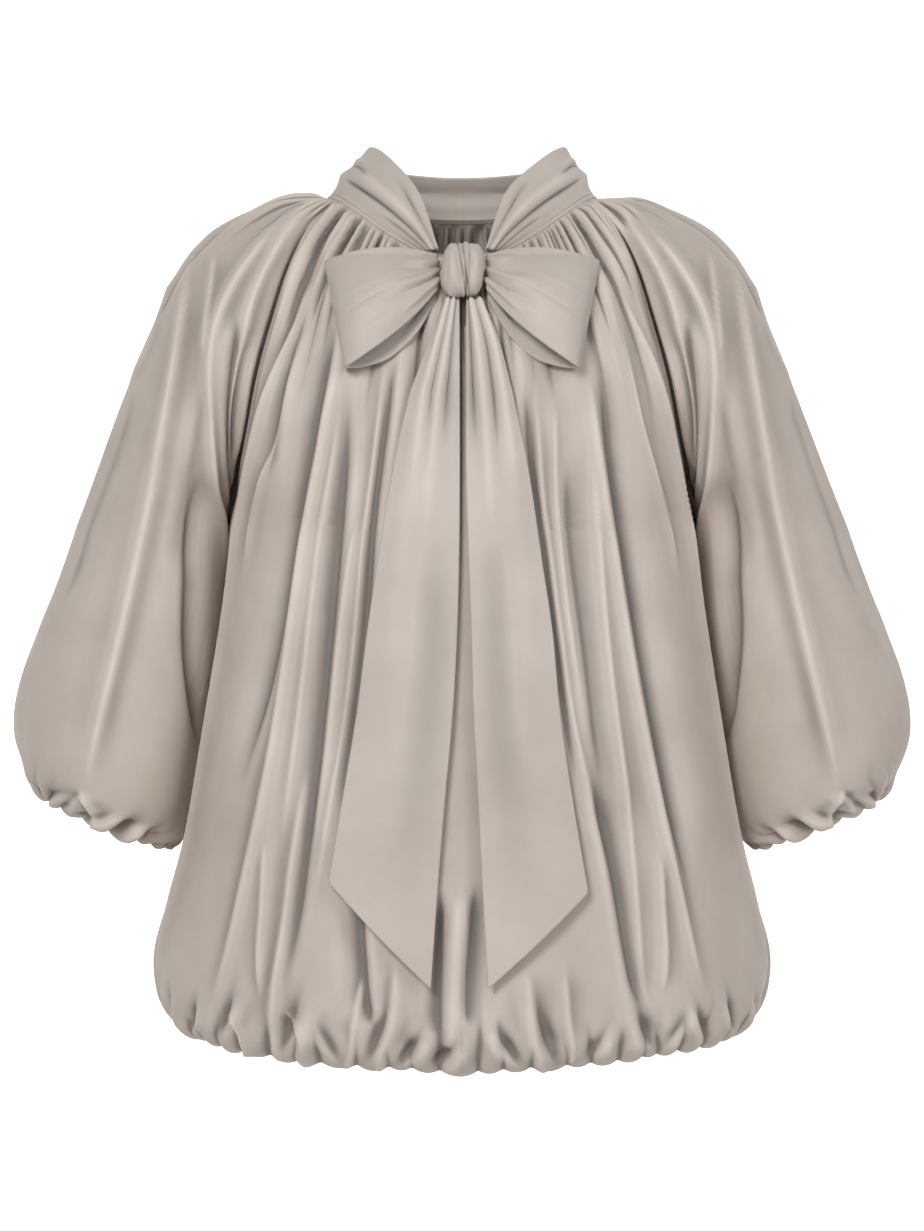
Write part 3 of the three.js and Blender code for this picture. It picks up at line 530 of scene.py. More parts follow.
# Front panel
frontPanel = {
    "columns": 460,
    "rows": [(0, 3, 46), (3, 12, 62), (12, 20, 82)],
    "gathers": [[4.2, 7, 4.4, 1.1, 2.4], [8, 14, 6.4, 1.8, 4], [17, 24, 7.0, 3.2, 6.5]],
    "foldDepth": 1, "highestCrest": 14, "crumple": 0.7, "raglanEdge": 3, "sideEdge": 5, "hemHang": 4,
    "puffSections": (14.6, 15.9, 20), "puffHeights": (2, 4.5),  # start, full, end; lowest and highest in mm
    "crestUnderTie": 6.2,  # and how far out from the middle the tie reaches, by section
    "tieReach": [
        [0, 100], [2.6, 100], [3.4, 44], [6, 58], [8, 66], [10, 78], [12, 92], [14.2, 104], [14.9, 0], [20, 0]],
    "folds": [
        [1, 15.5, -104, -173, -222, -287, 7, 9, 0.8], [3, 7.9, -124, -138, -160, -176, 2.5, 5, 0.9],
        [2.2, 5.8, -117, -131, -140, -147, -5, 9, 0.1], [1.9, 11.1, -88, -113, -132, -166, -9, 10, 0.15],
        [1.6, 15.3, -85, -110, -139, -188, 7, 8, 0.8], [3.6, 11.9, -85, -100, -113, -129, 3, 5, 0.9],
        [3.2, 14.6, -80, -91, -106, -128, -10, 11, 0.1], [6.2, 12.1, -73, -86, -95, -104, 3, 5, 0.9],
        [10.4, 17, -110, -124, -132, -129, 6, 8, 0.8], [2.3, 12.8, -53, -66, -79, -103, 6, 7, 0.8],
        [2.3, 11.6, -46, -60, -69, -87, -10, 8, 0.2], [11.6, 14.5, -138, -141, -144, -141, 3, 5, 0.9],
        [14.6, 17, -125, -109, -112, -103, 5, 6, 0.8], [14.7, 16.9, -168, -159, -155, -158, 4, 6, 0.8],
        [12.4, 15, -72, -70, -67, -63, -10, 8, 0.1], [13.6, 17, -68, -73, -75, -80, 4, 6, 0.9],
        [13.4, 17, -44, -48, -55, -55, 5, 7, 0.8], [12.3, 15.7, -2, -5, -7, -9, 6, 8, 0.6],
        [12.2, 14.9, 10, 7, 4, 5, -7, 8, 0.1], [12.3, 15.2, -15, -16, -17, -17, -7, 8, 0.1],
        [3.4, 13.4, -26, -29, -32, -36, 4, 10, 0.3], [3.2, 13, 22, 27, 32, 40, 4, 10, 0.3],
        [2.7, 11, 42, 52, 64, 80, -10, 8, 0.2], [2.9, 13.3, 51, 59, 78, 110, 6, 7, 0.8],
        [3.3, 9.8, 66, 66, 72, 85, 3, 5, 0.9], [4.8, 11, 74, 78, 89, 99, -6, 9, 0.1],
        [3, 14.9, 91, 107, 138, 180, 7, 8, 0.8], [4.6, 14.9, 90, 100, 118, 132, 4, 6, 0.9],
        [10.6, 14.8, 90, 106, 117, 127, -10, 10, 0.1], [2.8, 12.9, 100, 115, 140, 169, -10, 11, 0.1],
        [2.8, 7.9, 120, 133, 154, 175, 2.5, 5, 0.9], [1, 15.5, 104, 175, 226, 287, 7, 9, 0.8],
        [13.6, 17, 44, 48, 52, 56, 5, 7, 0.8], [13.6, 16.7, 70, 72, 75, 73, 4, 6, 0.9],
        [11.8, 14.4, 138, 141, 144, 142, 4, 6, 0.9],
    ],
    "hemCreases": [-306, -284, -262, -241, -220, -203, -183, -161, -137, -114, -98, -72, -50, -34, -15, 11, 28,
                   47, 72, 89, 109, 128, 140, 158, 180, 206, 226, 247, 266, 286, 306],
    # hollows that a crease curls over: section, place, depth, half width, half height, the lip's side
    "pockets": [
        [15.3, -122, 10, 9, 0.7, 1], [15.1, -172, 7, 6, 0.5, 1], [15.5, -210, 8, 6, 0.5, 1],
        [15.2, -57, 6, 5, 0.6, 1], [15.8, -36, 8, 5, 0.5, 1], [15.9, -12, 9, 6, 0.5, 1],
        [15.6, -90, 4, 5, 0.5, -1], [15.6, 32, 8, 5, 0.5, -1], [15.3, 58, 7, 6, 0.7, -1],
        [15.7, 92, 4, 5, 0.5, 1], [15.4, 130, 9, 7, 0.6, -1], [15.4, 176, 8, 6, 0.5, -1],
        [15.3, 208, 7, 6, 0.5, -1], [15.6, 150, 4, 5, 0.5, 1], [15.3, -244, 6, 7, 0.5, 1],
        [15.3, 242, 6, 7, 0.5, -1],
    ],
    "slit": {"top": -50, "widest": -90, "bottom": -99, "halfWide": 3.2},
    "flowWidth": [
        [0, 120], [2, 154], [4, 180], [6, 198], [8, 214], [10, 228], [12, 240], [14, 250], [20, 252]],
}


def somePockets(places, full):  # hollows by chance beside the creases of an unseen hem
    return [[luck.uniform(full - 1.2, full - 0.3), place, luck.uniform(2, 9), luck.uniform(4, 7),
             luck.uniform(0.4, 0.8), luck.choice([-1, 1])] for place in places[1:-1]]


def softened(height):  # takes the stair steps out of creases that cross the grid
    for _ in range(2):
        wide = np.pad(height, 1, mode="edge")
        height = 0.5 * height + 0.125 * (wide[:-2, 1:-1] + wide[2:, 1:-1] + wide[1:-1, :-2] + wide[1:-1, 2:])
    return height


def hemPuffs(v, around, creases, pockets, sections, heights, lean=0):
    start, full, end = sections
    places = np.array(creases, float)
    count = len(places) - 1
    swell = np.clip(0.2 * np.diff(places), *heights)
    begins = luck.uniform(start - 0.7, start + 0.7, count)
    shift = luck.uniform(-4, 4, count + 1)

    def rise(section):
        return smooth(begins, full, section) * (1 - 0.6 * smooth(full + 1.5, end, section))

    def drift(section):
        leaning = lean * (np.clip(section, full - 1.3, full + 1) - full)
        return shift * (1 - smooth(full - 1.2, full + 0.2, section)) + leaning

    total = puffs(v, around, places, swell, rise, drift, 0.62)
    total -= 0.6 * np.mean(swell) * smooth(start, full, v)[:, None]
    small = creaseLines(abs(places[0]), 7, 8)
    tiny = luck.uniform(0.2, 0.9, len(small) - 1)
    total += puffs(v, around, small, tiny, lambda section: smooth(full + 1.4, full + 2.6, section) + 0 * tiny)
    for high, place, deep, wide, tall, turn in pockets:
        up = (v - high)[:, None] / tall
        across = turn * (around - place + 5 * up * turn - lean * tall * up) / wide
        total += 0.4 * deep * np.exp(-(across - 1.5) ** 2 - 0.7 * up ** 2)
        total -= deep * np.exp(-(across / np.where(across > 0, 0.6, 1.4)) ** 2 - up ** 2)
    return softened(total)


def bodyHeight(panel, v, u, around, down, seed):
    flowWidth = np.interp(v, *np.array(panel["flowWidth"], float).T)
    neckArc = panel["flowWidth"][0][1]
    flow = around * neckArc / flowWidth[:, None]
    flow = flow + 0.5 * np.sin(1.3 * v[:, None] + 0.09 * flow)
    calm = smooth(0, 0.05, 1 - np.abs(u))[None, :]
    height = gatherLevels(panel["gathers"], 1.35 * neckArc, v, flow, calm)
    height += panel["foldDepth"] * foldHeight(panel["folds"], v, around, 1) * calm
    height += crumple(down, around, panel["crumple"], seed) * calm * smooth(1, 5, v)[:, None]
    reach = np.interp(v, *np.array(panel["tieReach"], float).T)[:, None]
    limit = mix(panel["crestUnderTie"], panel["highestCrest"], smooth(reach, reach + 14, np.abs(around)))
    height = np.where(height > 0, limit * np.tanh(height / limit), height)
    pockets = panel.get("pockets") or somePockets(panel["hemCreases"], panel["puffSections"][1])
    hem = hemPuffs(v, around, panel["hemCreases"], pockets, panel["puffSections"], panel["puffHeights"])
    return height + hem * calm


def makeBody(name, panel, outward, seed, slit=None):
    v = sectionSteps(panel["rows"])
    u = np.linspace(-1, 1, panel["columns"] + 1)
    if slit:
        u = np.insert(u, panel["columns"] // 2, 0)
    points, around = bodyGrid(name, u, v)
    seam = points[0].copy()
    middle = panel["columns"] // 2
    if slit:
        normal = normalsOf(np.delete(points, middle, axis=1), outward)
        normal = np.insert(normal, middle, normal[:, middle], axis=1)
    else:
        normal = normalsOf(points, outward)
    height = bodyHeight(panel, v, u, around, downLength(points), seed)
    edge = 1 - smooth(0, 0.035, 1 - np.abs(u))[None, :]
    raglan = panel["raglanEdge"] * edge * smooth(0.2, 1, v)[:, None]
    height += raglan * (1 - smooth(underarm - 1.5, underarm, v))[:, None]
    sideSeam = smooth(underarm + 0.3, underarm + 1.3, v) * (1 - smooth(16.3, 17.3, v))
    height += panel["sideEdge"] * edge * sideSeam[:, None]
    hang = panel["hemHang"] * smooth(13.5, 16, v) * (1 - smooth(18, 19.6, v))
    points = points + normal * (height + hang[:, None])[..., None]
    if slit:
        z = points[:, middle, 2]
        wide = slit["halfWide"] * np.clip((slit["top"] - z) / (slit["top"] - slit["widest"]), 0.2, 1)
        tip = np.clip((z - slit["bottom"]) / (slit["widest"] - slit["bottom"]), 0, 1)
        wide = wide * np.sqrt(np.clip(1 - (1 - tip) ** 2, 0, 1))
        side = np.where(np.arange(len(u)) <= middle, -1, 1)
        points[:, :, 0] += wide[:, None] * (side * np.exp(-(np.abs(around) / 9)))
    points = tuckUnderBand(points, seam)
    for edgeName in ("left", "right", "bottom"):
        points = turnEdge(points, outward, edgeName)
    # the mask for painted shade in valleys and a painted highlight on crests of the folds
    paintedLightMask = np.pad(paintedLightMaskOf(height, around), ((2, 4), (4, 4)), mode="edge")
    return singleCloth(name + "Cloth", points, outward, bodySatin, paintedLightMask)


finishPiece(makeBody("front", frontPanel, -1, 5, frontPanel["slit"]), "front_panel",
            flat=(0.64, 0.72), area=0.36)
print("front panel done")

# Back panel: hidden in the photograph, so the same gathers and hem with folds of its own
backPanel = {
    "columns": 300,
    "rows": [(0, 3, 40), (3, 12, 54), (12, 20, 70)],
    "gathers": [[4.4, 7, 4.2, 1, 2.2], [8, 14, 6, 2, 4.5], [17, 24, 7.5, 4, 9]],
    "foldDepth": 2.4, "highestCrest": 14, "crumple": 0.7, "raglanEdge": 3, "sideEdge": -2.5, "hemHang": 4,
    "puffSections": (14.6, 15.9, 20), "puffHeights": (2, 4.5),
    "crestUnderTie": 14, "tieReach": [[0, 0], [20, 0]],
    "folds": [
        [0.6, 7.4, -62, -84, -110, -136, 4, 9, 0.6], [1.2, 9.5, -42, -54, -68, -92, -5, 10, 0.2],
        [3.2, 14.8, -18, -26, -36, -44, 4, 10, 0.6], [2, 13.4, -84, -110, -144, -186, -6, 11, 0.1],
        [6, 15, -74, -90, -106, -118, 5, 10, 0.6], [9, 16, -128, -151, -164, -168, 4, 9, 0.7],
        [1, 8.4, 8, 10, 14, 19, -4, 10, 0.2], [4.2, 15.4, 2, 4, 1, -6, -5, 10, 0.2],
        [0.8, 6.8, 50, 70, 94, 118, 4, 9, 0.6], [2.6, 14.4, 34, 46, 61, 80, 5, 10, 0.6],
        [3.4, 12.8, 66, 86, 109, 132, -6, 10, 0.1], [8.4, 15.6, 24, 30, 35, 38, -5, 9, 0.3],
        [7.4, 15.2, 118, 141, 161, 176, 4, 9, 0.7], [10.6, 16, 96, 112, 122, 128, -5, 9, 0.3],
        [5, 14.5, -150, -176, -200, -214, -5, 11, 0.2], [5.4, 14.8, 146, 178, 206, 222, -5, 11, 0.2],
        [8, 16, -196, -222, -234, -226, 4, 9, 0.6], [8.6, 16, 200, 226, 238, 228, 4, 9, 0.6],
    ],
    "hemCreases": [-300, -276, -255, -231, -212, -190, -171, -148, -133, -112, -97, -80, -62, -49, -30, -14,
                   3, 17, 35, 48, 66, 83, 96, 115, 130, 150, 167, 187, 208, 229, 247, 270, 300],
    "flowWidth": [
        [0, 118], [2, 153], [4, 174], [6, 190], [8, 203], [10, 216], [12, 230], [14, 242], [20, 244]],
}
finishPiece(makeBody("back", backPanel, 1, 8), "back_panel",
            flat=(0.62, 0.7), area=0.34)
print("back panel done")

# Sleeves: folds by mm round from the top line, the front side negative
sleeve = {
    "columns": 340,
    "rows": [(0, 3, 40), (3, 11, 60), (11, 18, 62)],
    "gathers": [[4, 5, 3, 0.8, 1.6], [9, 11, 4.4, 1.2, 2.6]],
    "folds": [
        [12.7, 14.5, -112, -111, -104, -92, 5, 5, 0.8], [12.7, 14.5, -116, -100, -86, -74, 4, 5, 0.8],
        [0.5, 4.2, -14, -22, -26, -20, -3, 8, 0.4], [0.6, 7.2, 42, 78, 108, 130, 5, 8, 0.7],
        [1.6, 9, 50, 86, 124, 160, -9, 11, 0.1], [4.4, 12.8, 66, 84, 96, 100, -6, 12, 0.2],
        [6.4, 13.2, 92, 122, 130, 118, 6, 9, 0.8], [8.6, 13.6, 150, 184, 190, 168, -7, 10, 0.3],
        [2, 8, 88, 128, 158, 186, 6, 8, 0.7],
    ],
    "frontFolds": [
        [96, 500, 164, 131, 106, 86, 6, 9, 0.85], [120, 215, 168, 165, 162, 164, 2, 6, 0.9],
        [58, 330, 110, 123, 92, 46, 6, 8, 0.8], [100, 180, 147, 139, 130, 122, 3, 6, 0.9],
        [46, 262, 98, 107, 94, 66, 5, 7, 0.8], [140, 290, 112, 96, 77, 58, -11, 9, 0.2],
        [250, 440, 98, 78, 54, 22, -8, 12, 0.1], [200, 380, 164, 157, 153, 148, -4, 13, 0],
        [190, 330, 114, 104, 95, 84, -3, 12, 0],
    ],
    "pockets": [
        [14, -121, 9, 7, 0.7, 1], [14, -143, 9, 6, 0.7, 1], [13.7, -216, 8, 7, 0.6, 1],
        [13.9, -178, 6, 6, 0.6, 1], [14.1, -92, 5, 5, 0.6, -1], [14, -60, 6, 6, 0.6, -1],
        [13.9, -28, 5, 5, 0.6, 1], [13.8, 10, 7, 6, 0.6, -1], [14, 48, 6, 5, 0.6, 1],
        [13.9, 84, 8, 7, 0.7, -1], [14, 122, 5, 5, 0.5, 1], [13.8, 160, 8, 6, 0.6, -1],
        [13.8, 206, 7, 6, 0.6, 1],
    ],
    "crumple": 0.8, "seamDip": 6,
    "puffSections": (12.7, 14, 18), "puffHeights": (3, 6), "puffLean": 15,  # as for the hem; lean in mm a section
    "outerSwell": [
        [0, 0], [1, 2], [2, 6.5], [3, 6], [4, 5.5], [5, 6.5], [6, 7], [7, 8], [8, 9], [9, 6], [10, 2],
        [11, 0], [18, 0]],
    "cuffCreases": [-262, -238, -214, -196, -170, -152, -123, -100, -76, -54, -38, -12, 12, 34, 60, 80, 106, 126,
                    150, 176, 200, 236, 262],
}


def makeSleeve(name, side, seed):
    v = sectionSteps(sleeve["rows"])
    u = np.linspace(-1, 1, sleeve["columns"] + 1)
    points, around = sleeveGrid(side, u, v)
    seam = points[0].copy()
    normal = normalsOf(points, side)
    down = downLength(points)
    half = np.where(u < 0, 38, 18)[None, :]
    flow = u[None, :] * half + 0.6 * np.sin(1.1 * v[:, None] + 9 * u[None, :])
    seamed = 1 - smooth(underarm - 1.2, underarm, v)[:, None]
    calm = mix(1, smooth(0, 0.06, 1 - np.abs(u))[None, :], seamed)
    height = gatherLevels(sleeve["gathers"], 44, v, flow, calm)
    height += foldHeight(sleeve["folds"], v, around, -1) * calm
    frontFolds = sleeveFrontFolds(sleeve["frontFolds"], points * [side, 1, 1], around)
    height += frontFolds * calm * smooth(0, 0.09, -u)[None, :]
    closing = smooth(0, 0.02, 1 - np.abs(u))[None, :]
    fullRow = np.searchsorted(v, sleeve["puffSections"][1])  # puffs are placed by the way round this row
    atCuff = np.abs(around[fullRow])[None, :] * np.sign(u)[None, :] * np.ones_like(around)
    height += closing * hemPuffs(v, atCuff, sleeve["cuffCreases"], sleeve["pockets"],
                                 sleeve["puffSections"], sleeve["puffHeights"], sleeve["puffLean"])
    height += crumple(down, around, sleeve["crumple"], seed) * calm * closing * smooth(1, 5, v)[:, None]
    front = smooth(0.93, 1, -u)[None, :] * smooth(0.2, 1, v)[:, None]
    height -= sleeve["seamDip"] * front * seamed
    swell = np.interp(v, *np.array(sleeve["outerSwell"], float).T)[:, None]
    swell = swell * np.cos(np.clip(u / 0.6, -1, 1) * np.pi / 2) ** 2
    points = tuckUnderBand(points + normal * (height + swell)[..., None], seam)
    for edgeName in ("left", "right", "bottom"):
        points = turnEdge(points, side, edgeName)
    # the mask for painted shade in valleys and a painted highlight on crests of the folds
    paintedLightMask = np.pad(paintedLightMaskOf(height, around), ((2, 4), (4, 4)), mode="edge")
    return singleCloth(name, points, side, bodySatin, paintedLightMask)


for sideName, side, seed in (("left", 1, 14), ("right", -1, 15)):
    finishPiece(makeSleeve(sideName + "SleeveCloth", side, seed), "sleeve_" + sideName,
                flat=(0.52, 0.6), area=0.22)
print("sleeves done")

# Hem band and cuffs: plain doubled rings that the bubble edges are gathered into
bandEdge = np.array([0, 0.01, 0.03, 0.06, 0.1, 0.2, 0.35, 0.5, 0.65, 0.8, 0.9, 0.94, 0.97, 0.99, 1])


def hemBand():
    u = np.linspace(-1, 1, 321)
    front, _ = bodyGrid("front", np.clip(2 * u + 1, -1, 1), np.array([20.0]))
    back, _ = bodyGrid("back", np.clip(1 - 2 * u, -1, 1), np.array([20.0]))
    edge = np.where((u < 0)[:, None], front[0], back[0])
    ring = edge[None] + np.outer(bandEdge * cut["hemBandHeight"], [0, 0, 1])[:, None, :]
    ripple = 0.5 * np.sin(70 * np.pi * u)[None, :] * (1 - bandEdge)[:, None]
    ring = ring + normalsOf(ring, 1) * (ripple - 1.0)[..., None]
    return doubledCloth("hemBandCloth", ring, 1, 1.8, bodySatin, closed=True)


def cuffBand(name, side):
    u = np.linspace(-1, 1, 161)
    edge, _ = sleeveGrid(side, u, np.array([18.0]))
    rise = np.outer(bandEdge * cut["cuffHeight"], -armDown * [side, 1, 1])
    ring = edge + rise[:, None, :]
    ripple = 0.5 * np.sin(36 * np.pi * u)[None, :] * (1 - bandEdge)[:, None]
    ring = ring + normalsOf(ring, -side) * (ripple - 1.0)[..., None]
    return doubledCloth(name, ring, -side, 1.8, bodySatin, closed=True)


finishPiece(hemBand(), "hem_band", flat=(1.15, 0.025))
for sideName, side in (("left", 1), ("right", -1)):
    finishPiece(cuffBand(sideName + "CuffCloth", side), "cuff_" + sideName,
                flat=(0.3, 0.023))
print("hem band and cuffs done")

# Neckband: from the knot round the back to the knot. Each row is a place round the neck at even steps
# from the front to the back: its upper edge there and how far it rolls outwards.
neckband = {
    "start": 16,
    "thickness": 2.4,
    "rightLean": 8,
    "upperEdge": [
        [-17, -85, -43, 1], [-24.5, -66, -15, 4], [-32.5, -54, 4, 6], [-44.5, -38, 20, 6], [-57.5, -20, 33.5, 4],
        [-66, -2, 38.5, 2], [-68, 13, 35, 2], [-65, 29, 30.5, 3], [-58, 42, 28, 4], [-47, 53, 26, 4],
        [-33, 60, 25, 4], [-17, 65, 24.3, 4], [0, 67, 24, 4],
    ],
    # creases by share from the knot to the back: from, to, three heights up the band, height, half width, sharp
    "creases": [
        [0, 0.4, 0.52, 0.45, 0.36, -5.6, 0.05, 0.8], [0, 0.42, 0.66, 0.62, 0.5, 2.6, 0.1, 0.4],
        [0, 0.16, 0.3, 0.3, 0.26, -1.6, 0.06, 0.6], [0, 0.24, 0.8, 0.82, 0.9, -2.4, 0.05, 0.7],
        [0.26, 0.46, 0.6, 0.66, 0.6, -2.6, 0.06, 0.7], [0.3, 0.46, 0.72, 0.74, 0.7, 2.2, 0.06, 0.7],
        [0.3, 0.52, 0.3, 0.42, 0.5, 1.6, 0.09, 0.5], [0.45, 0.8, 0.4, 0.55, 0.5, -1.2, 0.1, 0.4],
        [0.6, 1, 0.7, 0.62, 0.72, 1.2, 0.1, 0.4], [0.55, 1, 0.25, 0.3, 0.22, 1.0, 0.09, 0.4],
    ],
}
edgeSteps = [0, 0.0015, 0.005, 0.01, 0.017, 0.025]
acrossSteps = np.array(edgeSteps + list(np.linspace(0.04, 0.96, 56)) + [1 - step for step in edgeSteps[::-1]])


def creaseField(table, share, v):  # creases in shares of a ribbon's length and width
    total = np.zeros((len(v), len(share)))
    for start, end, first, middle, last, height, half, sharp in table:
        t = np.clip((share - start) / (end - start), 0, 1)
        line = through([[first], [middle], [last]], 2 * t)[:, 0]
        begin = 1 if start == 0 else smooth(0, 0.3, t)
        fade = begin * smooth(0, 0.45, 1 - t) * (share <= end)
        off = (v[:, None] - line[None, :]) / half
        crest = np.exp(-1.5 * (np.sqrt(off ** 2 + 0.02) - 0.14))
        total += height * fade[None, :] * mix(np.exp(-off ** 2), crest, sharp)
    return total


def makeNeckband():
    u = np.linspace(-1, 1, 401)
    share = 1 - np.abs(u)
    rows = through(neckband["upperEdge"], share * (len(neckband["upperEdge"]) - 1))
    low = neckPoint(mix(neckband["start"], 180, share))
    level = low * [1, 1, 0]
    level /= np.linalg.norm(level, axis=1, keepdims=True)
    v = acrossSteps[:, None, None]
    points = mix(low[None], rows[None, :, :3], v) + level[None] * rows[None, :, 3:] * np.sin(np.pi * v)
    points[:, u > 0, 0] *= -1
    lean = neckband["rightLean"] * smooth(0.12, 0.38, share) * (1 - smooth(0.5, 0.72, share)) * (u > 0)
    points[:, :, 0] += lean[None, :] * acrossSteps[:, None] ** 1.5
    wave = 0.9 * np.sin(np.pi * acrossSteps)[:, None] * np.cos(
        3 * np.pi * (acrossSteps[:, None] + 0.35 * np.abs(u)))
    stitch = -0.8 * np.exp(-((acrossSteps[:, None] - 0.075) / 0.014) ** 2) * np.ones_like(share)
    stitch = stitch + 0.7 * (1 - smooth(0.02, 0.13, acrossSteps))[:, None]
    creased = creaseField(neckband["creases"], share, acrossSteps)
    height = creased + wave + stitch - neckband["thickness"] / 2
    points = points + normalsOf(points, -1) * height[..., None]
    # painted shade in the neckband's creases and a painted highlight on its ridges
    paintedLightMask = np.clip(creased / 3, -1, 1)
    return doubledCloth("neckbandCloth", points, -1, neckband["thickness"], tieSatin, paintedLightMask=paintedLightMask)


finishPiece(makeNeckband(), "neckband", flat=(0.47, 0.08),
            area=0.023)
print("neckband done")


# The smooth form of the front under the tie: at even heights, X and Y across the middle of the panel
frontHeights = np.arange(-594, -48, 2.0)
middleOfFront, _ = bodyGrid("front", np.linspace(-0.75, 0.75, 121), np.linspace(0, 16, 161))
frontAcross, frontDepth = (np.array([
    np.interp(-frontHeights, -middleOfFront[:, c, 2], middleOfFront[:, c, axis]) for c in range(121)]).T
    for axis in (0, 1))


def onFront(x, z):
    at = np.clip((z - frontHeights[0]) / 2, 0, len(frontHeights) - 1.001)
    low = np.floor(at).astype(int)
    y = np.empty_like(x)
    for level in np.unique(low):
        here = low == level
        below, above = (np.interp(x[here], frontAcross[level + i], frontDepth[level + i]) for i in (0, 1))
        y[here] = mix(below, above, at[here] - level)
    return y


# Bow loops: rows from the knot outwards: how far out, top, lower edge of the front and back, and puff
bowLoop = {
    "standOff": 7.5,
    "slant": 15,
    "thickness": 2.4,
    "sections": [
        [17.2, -48, -73, -79, 8], [32, -45, -90, -104, 17], [52, -44, -107, -121, 25],
        [72, -46, -120, -127, 24], [86, -49, -127, -128, 16], [94, -51, -128, -128, 4],
    ],
    "creases": [
        [0, 0.42, 0.5, 0.5, 0.42, -4.0, 0.05, 0.8], [0, 0.3, 0.26, 0.24, 0.16, -2.8, 0.05, 0.6],
        [0, 0.34, 0.74, 0.76, 0.84, -3.4, 0.05, 0.7], [0, 0.5, 0.62, 0.63, 0.6, 2.2, 0.07, 0.4],
        [0, 0.4, 0.38, 0.36, 0.28, 1.6, 0.06, 0.4], [0.1, 0.98, 0.44, 0.52, 0.64, 0.7, 0.025, 0.9],
        [0.2, 0.95, 0.3, 0.36, 0.42, -0.6, 0.03, 0.7], [0.3, 0.9, 0.7, 0.74, 0.7, 0.8, 0.05, 0.6],
    ],
}


def shiftedCreases(creases, reach, seed):  # each crease a little to one side
    shift = reach * np.sin(seed + np.arange(len(creases)))
    return [[a, b, c + s, d + s, e + s, h, w, p] for (a, b, c, d, e, h, w, p), s in zip(creases, shift)]


def makeLoop(name, side, seed):
    u = np.concatenate([
        np.linspace(-1, -0.25, 60, endpoint=False), np.linspace(-0.25, 0.25, 50, endpoint=False),
        np.linspace(0.25, 1, 50)])
    share = np.sin(0.5 * np.pi * (1 - np.abs(u)))
    out, top, frontLow, backLow, puff = through(bowLoop["sections"], share * (len(bowLoop["sections"]) - 1)).T
    low = mix(frontLow, backLow, smooth(-0.25, 0.25, u))
    v = acrossSteps[:, None]
    z = mix(top, low, v)
    x = -side * (out - bowLoop["slant"] * v * share ** 2)
    behind = onFront(x, z) - bowLoop["standOff"]
    y = behind - puff * smooth(-0.18, 0.18, -u) * (0.6 + 0.4 * np.sin(np.pi * v))
    points = np.stack([x, y, z], axis=-1)
    front = smooth(-0.05, 0.1, -u)[None, :]
    back = 1 - front
    creases = shiftedCreases(bowLoop["creases"], 0.03, seed)
    creased = creaseField(creases, share, acrossSteps) * (front + 0.6 * back)
    points = points + normalsOf(points, -side) * (creased - bowLoop["thickness"] / 2)[..., None]
    # painted shade in the loop's creases and a painted highlight on its ridges
    paintedLightMask = np.clip(creased / 1.8, -1, 1)
    return doubledCloth(name, points, -side, bowLoop["thickness"], tieSatin, paintedLightMask=paintedLightMask)


for sideName, side, seed in (("left", 1, 1), ("right", -1, 4)):
    finishPiece(makeLoop(sideName + "LoopCloth", side, seed), "bow_loop_" + sideName,
                flat=(0.2, 0.09), area=0.0135)
print("bow loops done")

# Tails: edges at heights down the front; the slanting end is cut between an outer and an inner height
tieTail = {
    "top": -78.8,
    "standOff": 9,
    "lift": 3,
    "thickness": 2.4,
    "sections": [  # Z, then the outer and inner edge of the left tail and of the right tail
        [-78, -11.5, -1.2, 13, 2.2], [-110, -23, -1.2, 26, 2.2], [-145, -36, -1.2, 35, 2.2],
        [-200, -48, -1.2, 46, 2.4], [-255, -57, -1.6, 54, 4], [-310, -65, -3, 62, 6], [-365, -72, -6, 67, 7.5],
        [-420, -81, -11, 75, 10.5], [-480, -91, -16, 85, 13.5], [-551, -102, -21, 96, 17.5],
    ],
    # pleats by share down the tail: from, to, three shares across, height, half width, sharp
    "creases": [
        [0, 0.36, 0.2, 0.24, 0.3, 2.4, 0.12, 0.5], [0, 0.3, 0.38, 0.42, 0.5, -2.6, 0.1, 0.5],
        [0, 0.42, 0.62, 0.6, 0.62, 2.2, 0.12, 0.4], [0, 0.26, 0.8, 0.8, 0.76, -2.4, 0.1, 0.5],
        [0.1, 0.8, 0.34, 0.3, 0.4, 0.8, 0.18, 0.1], [0.3, 0.95, 0.66, 0.72, 0.62, -0.8, 0.2, 0.0],
    ],
}


def makeTail(name, columns, outerEnd, innerEnd, outward, seed):
    down = np.concatenate([
        np.linspace(0, 0.3, 60, endpoint=False), np.linspace(0.3, 0.97, 90, endpoint=False),
        0.97 + 0.03 * np.array([0, 0.3, 0.6, 0.8, 0.9, 0.95, 0.98, 0.99, 0.995, 1])])
    across = acrossSteps
    outerZ = mix(tieTail["top"], outerEnd, down)
    innerZ = mix(tieTail["top"], innerEnd, down)
    z = mix(outerZ[None, :], innerZ[None, :], across[:, None])
    table = np.array(tieTail["sections"], float)
    at = np.interp(-z, -table[:, 0], np.arange(len(table)))
    rows = through(table, at)
    x = mix(rows[..., columns[0]], rows[..., columns[1]], across[:, None])
    lift = tieTail["standOff"] + tieTail["lift"] * (1 - smooth(0, 0.15, down))[None, :]
    lift = lift + 2.5 * np.sin(np.pi * across)[:, None]
    points = np.stack([x, onFront(x, z) - lift, z], axis=-1)
    creased = creaseField(shiftedCreases(tieTail["creases"], 0.05, seed), down, across)
    points = points + normalsOf(points, outward) * (creased - tieTail["thickness"] / 2)[..., None]
    # painted shade in the tail's pleats and a painted highlight on their ridges
    paintedLightMask = np.clip(creased / 2.2, -1, 1)
    return doubledCloth(name, points, outward, tieTail["thickness"], tieSatin, paintedLightMask=paintedLightMask)


finishPiece(makeTail("leftTailCloth", (1, 2), outerEnd=-480, innerEnd=-551, outward=1, seed=2),
            "tie_tail_left",
            flat=(0.085, 0.48), area=0.031)
finishPiece(makeTail("rightTailCloth", (3, 4), outerEnd=-487, innerEnd=-551, outward=-1, seed=5),
            "tie_tail_right",
            flat=(0.085, 0.48), area=0.030)
print("tails done")

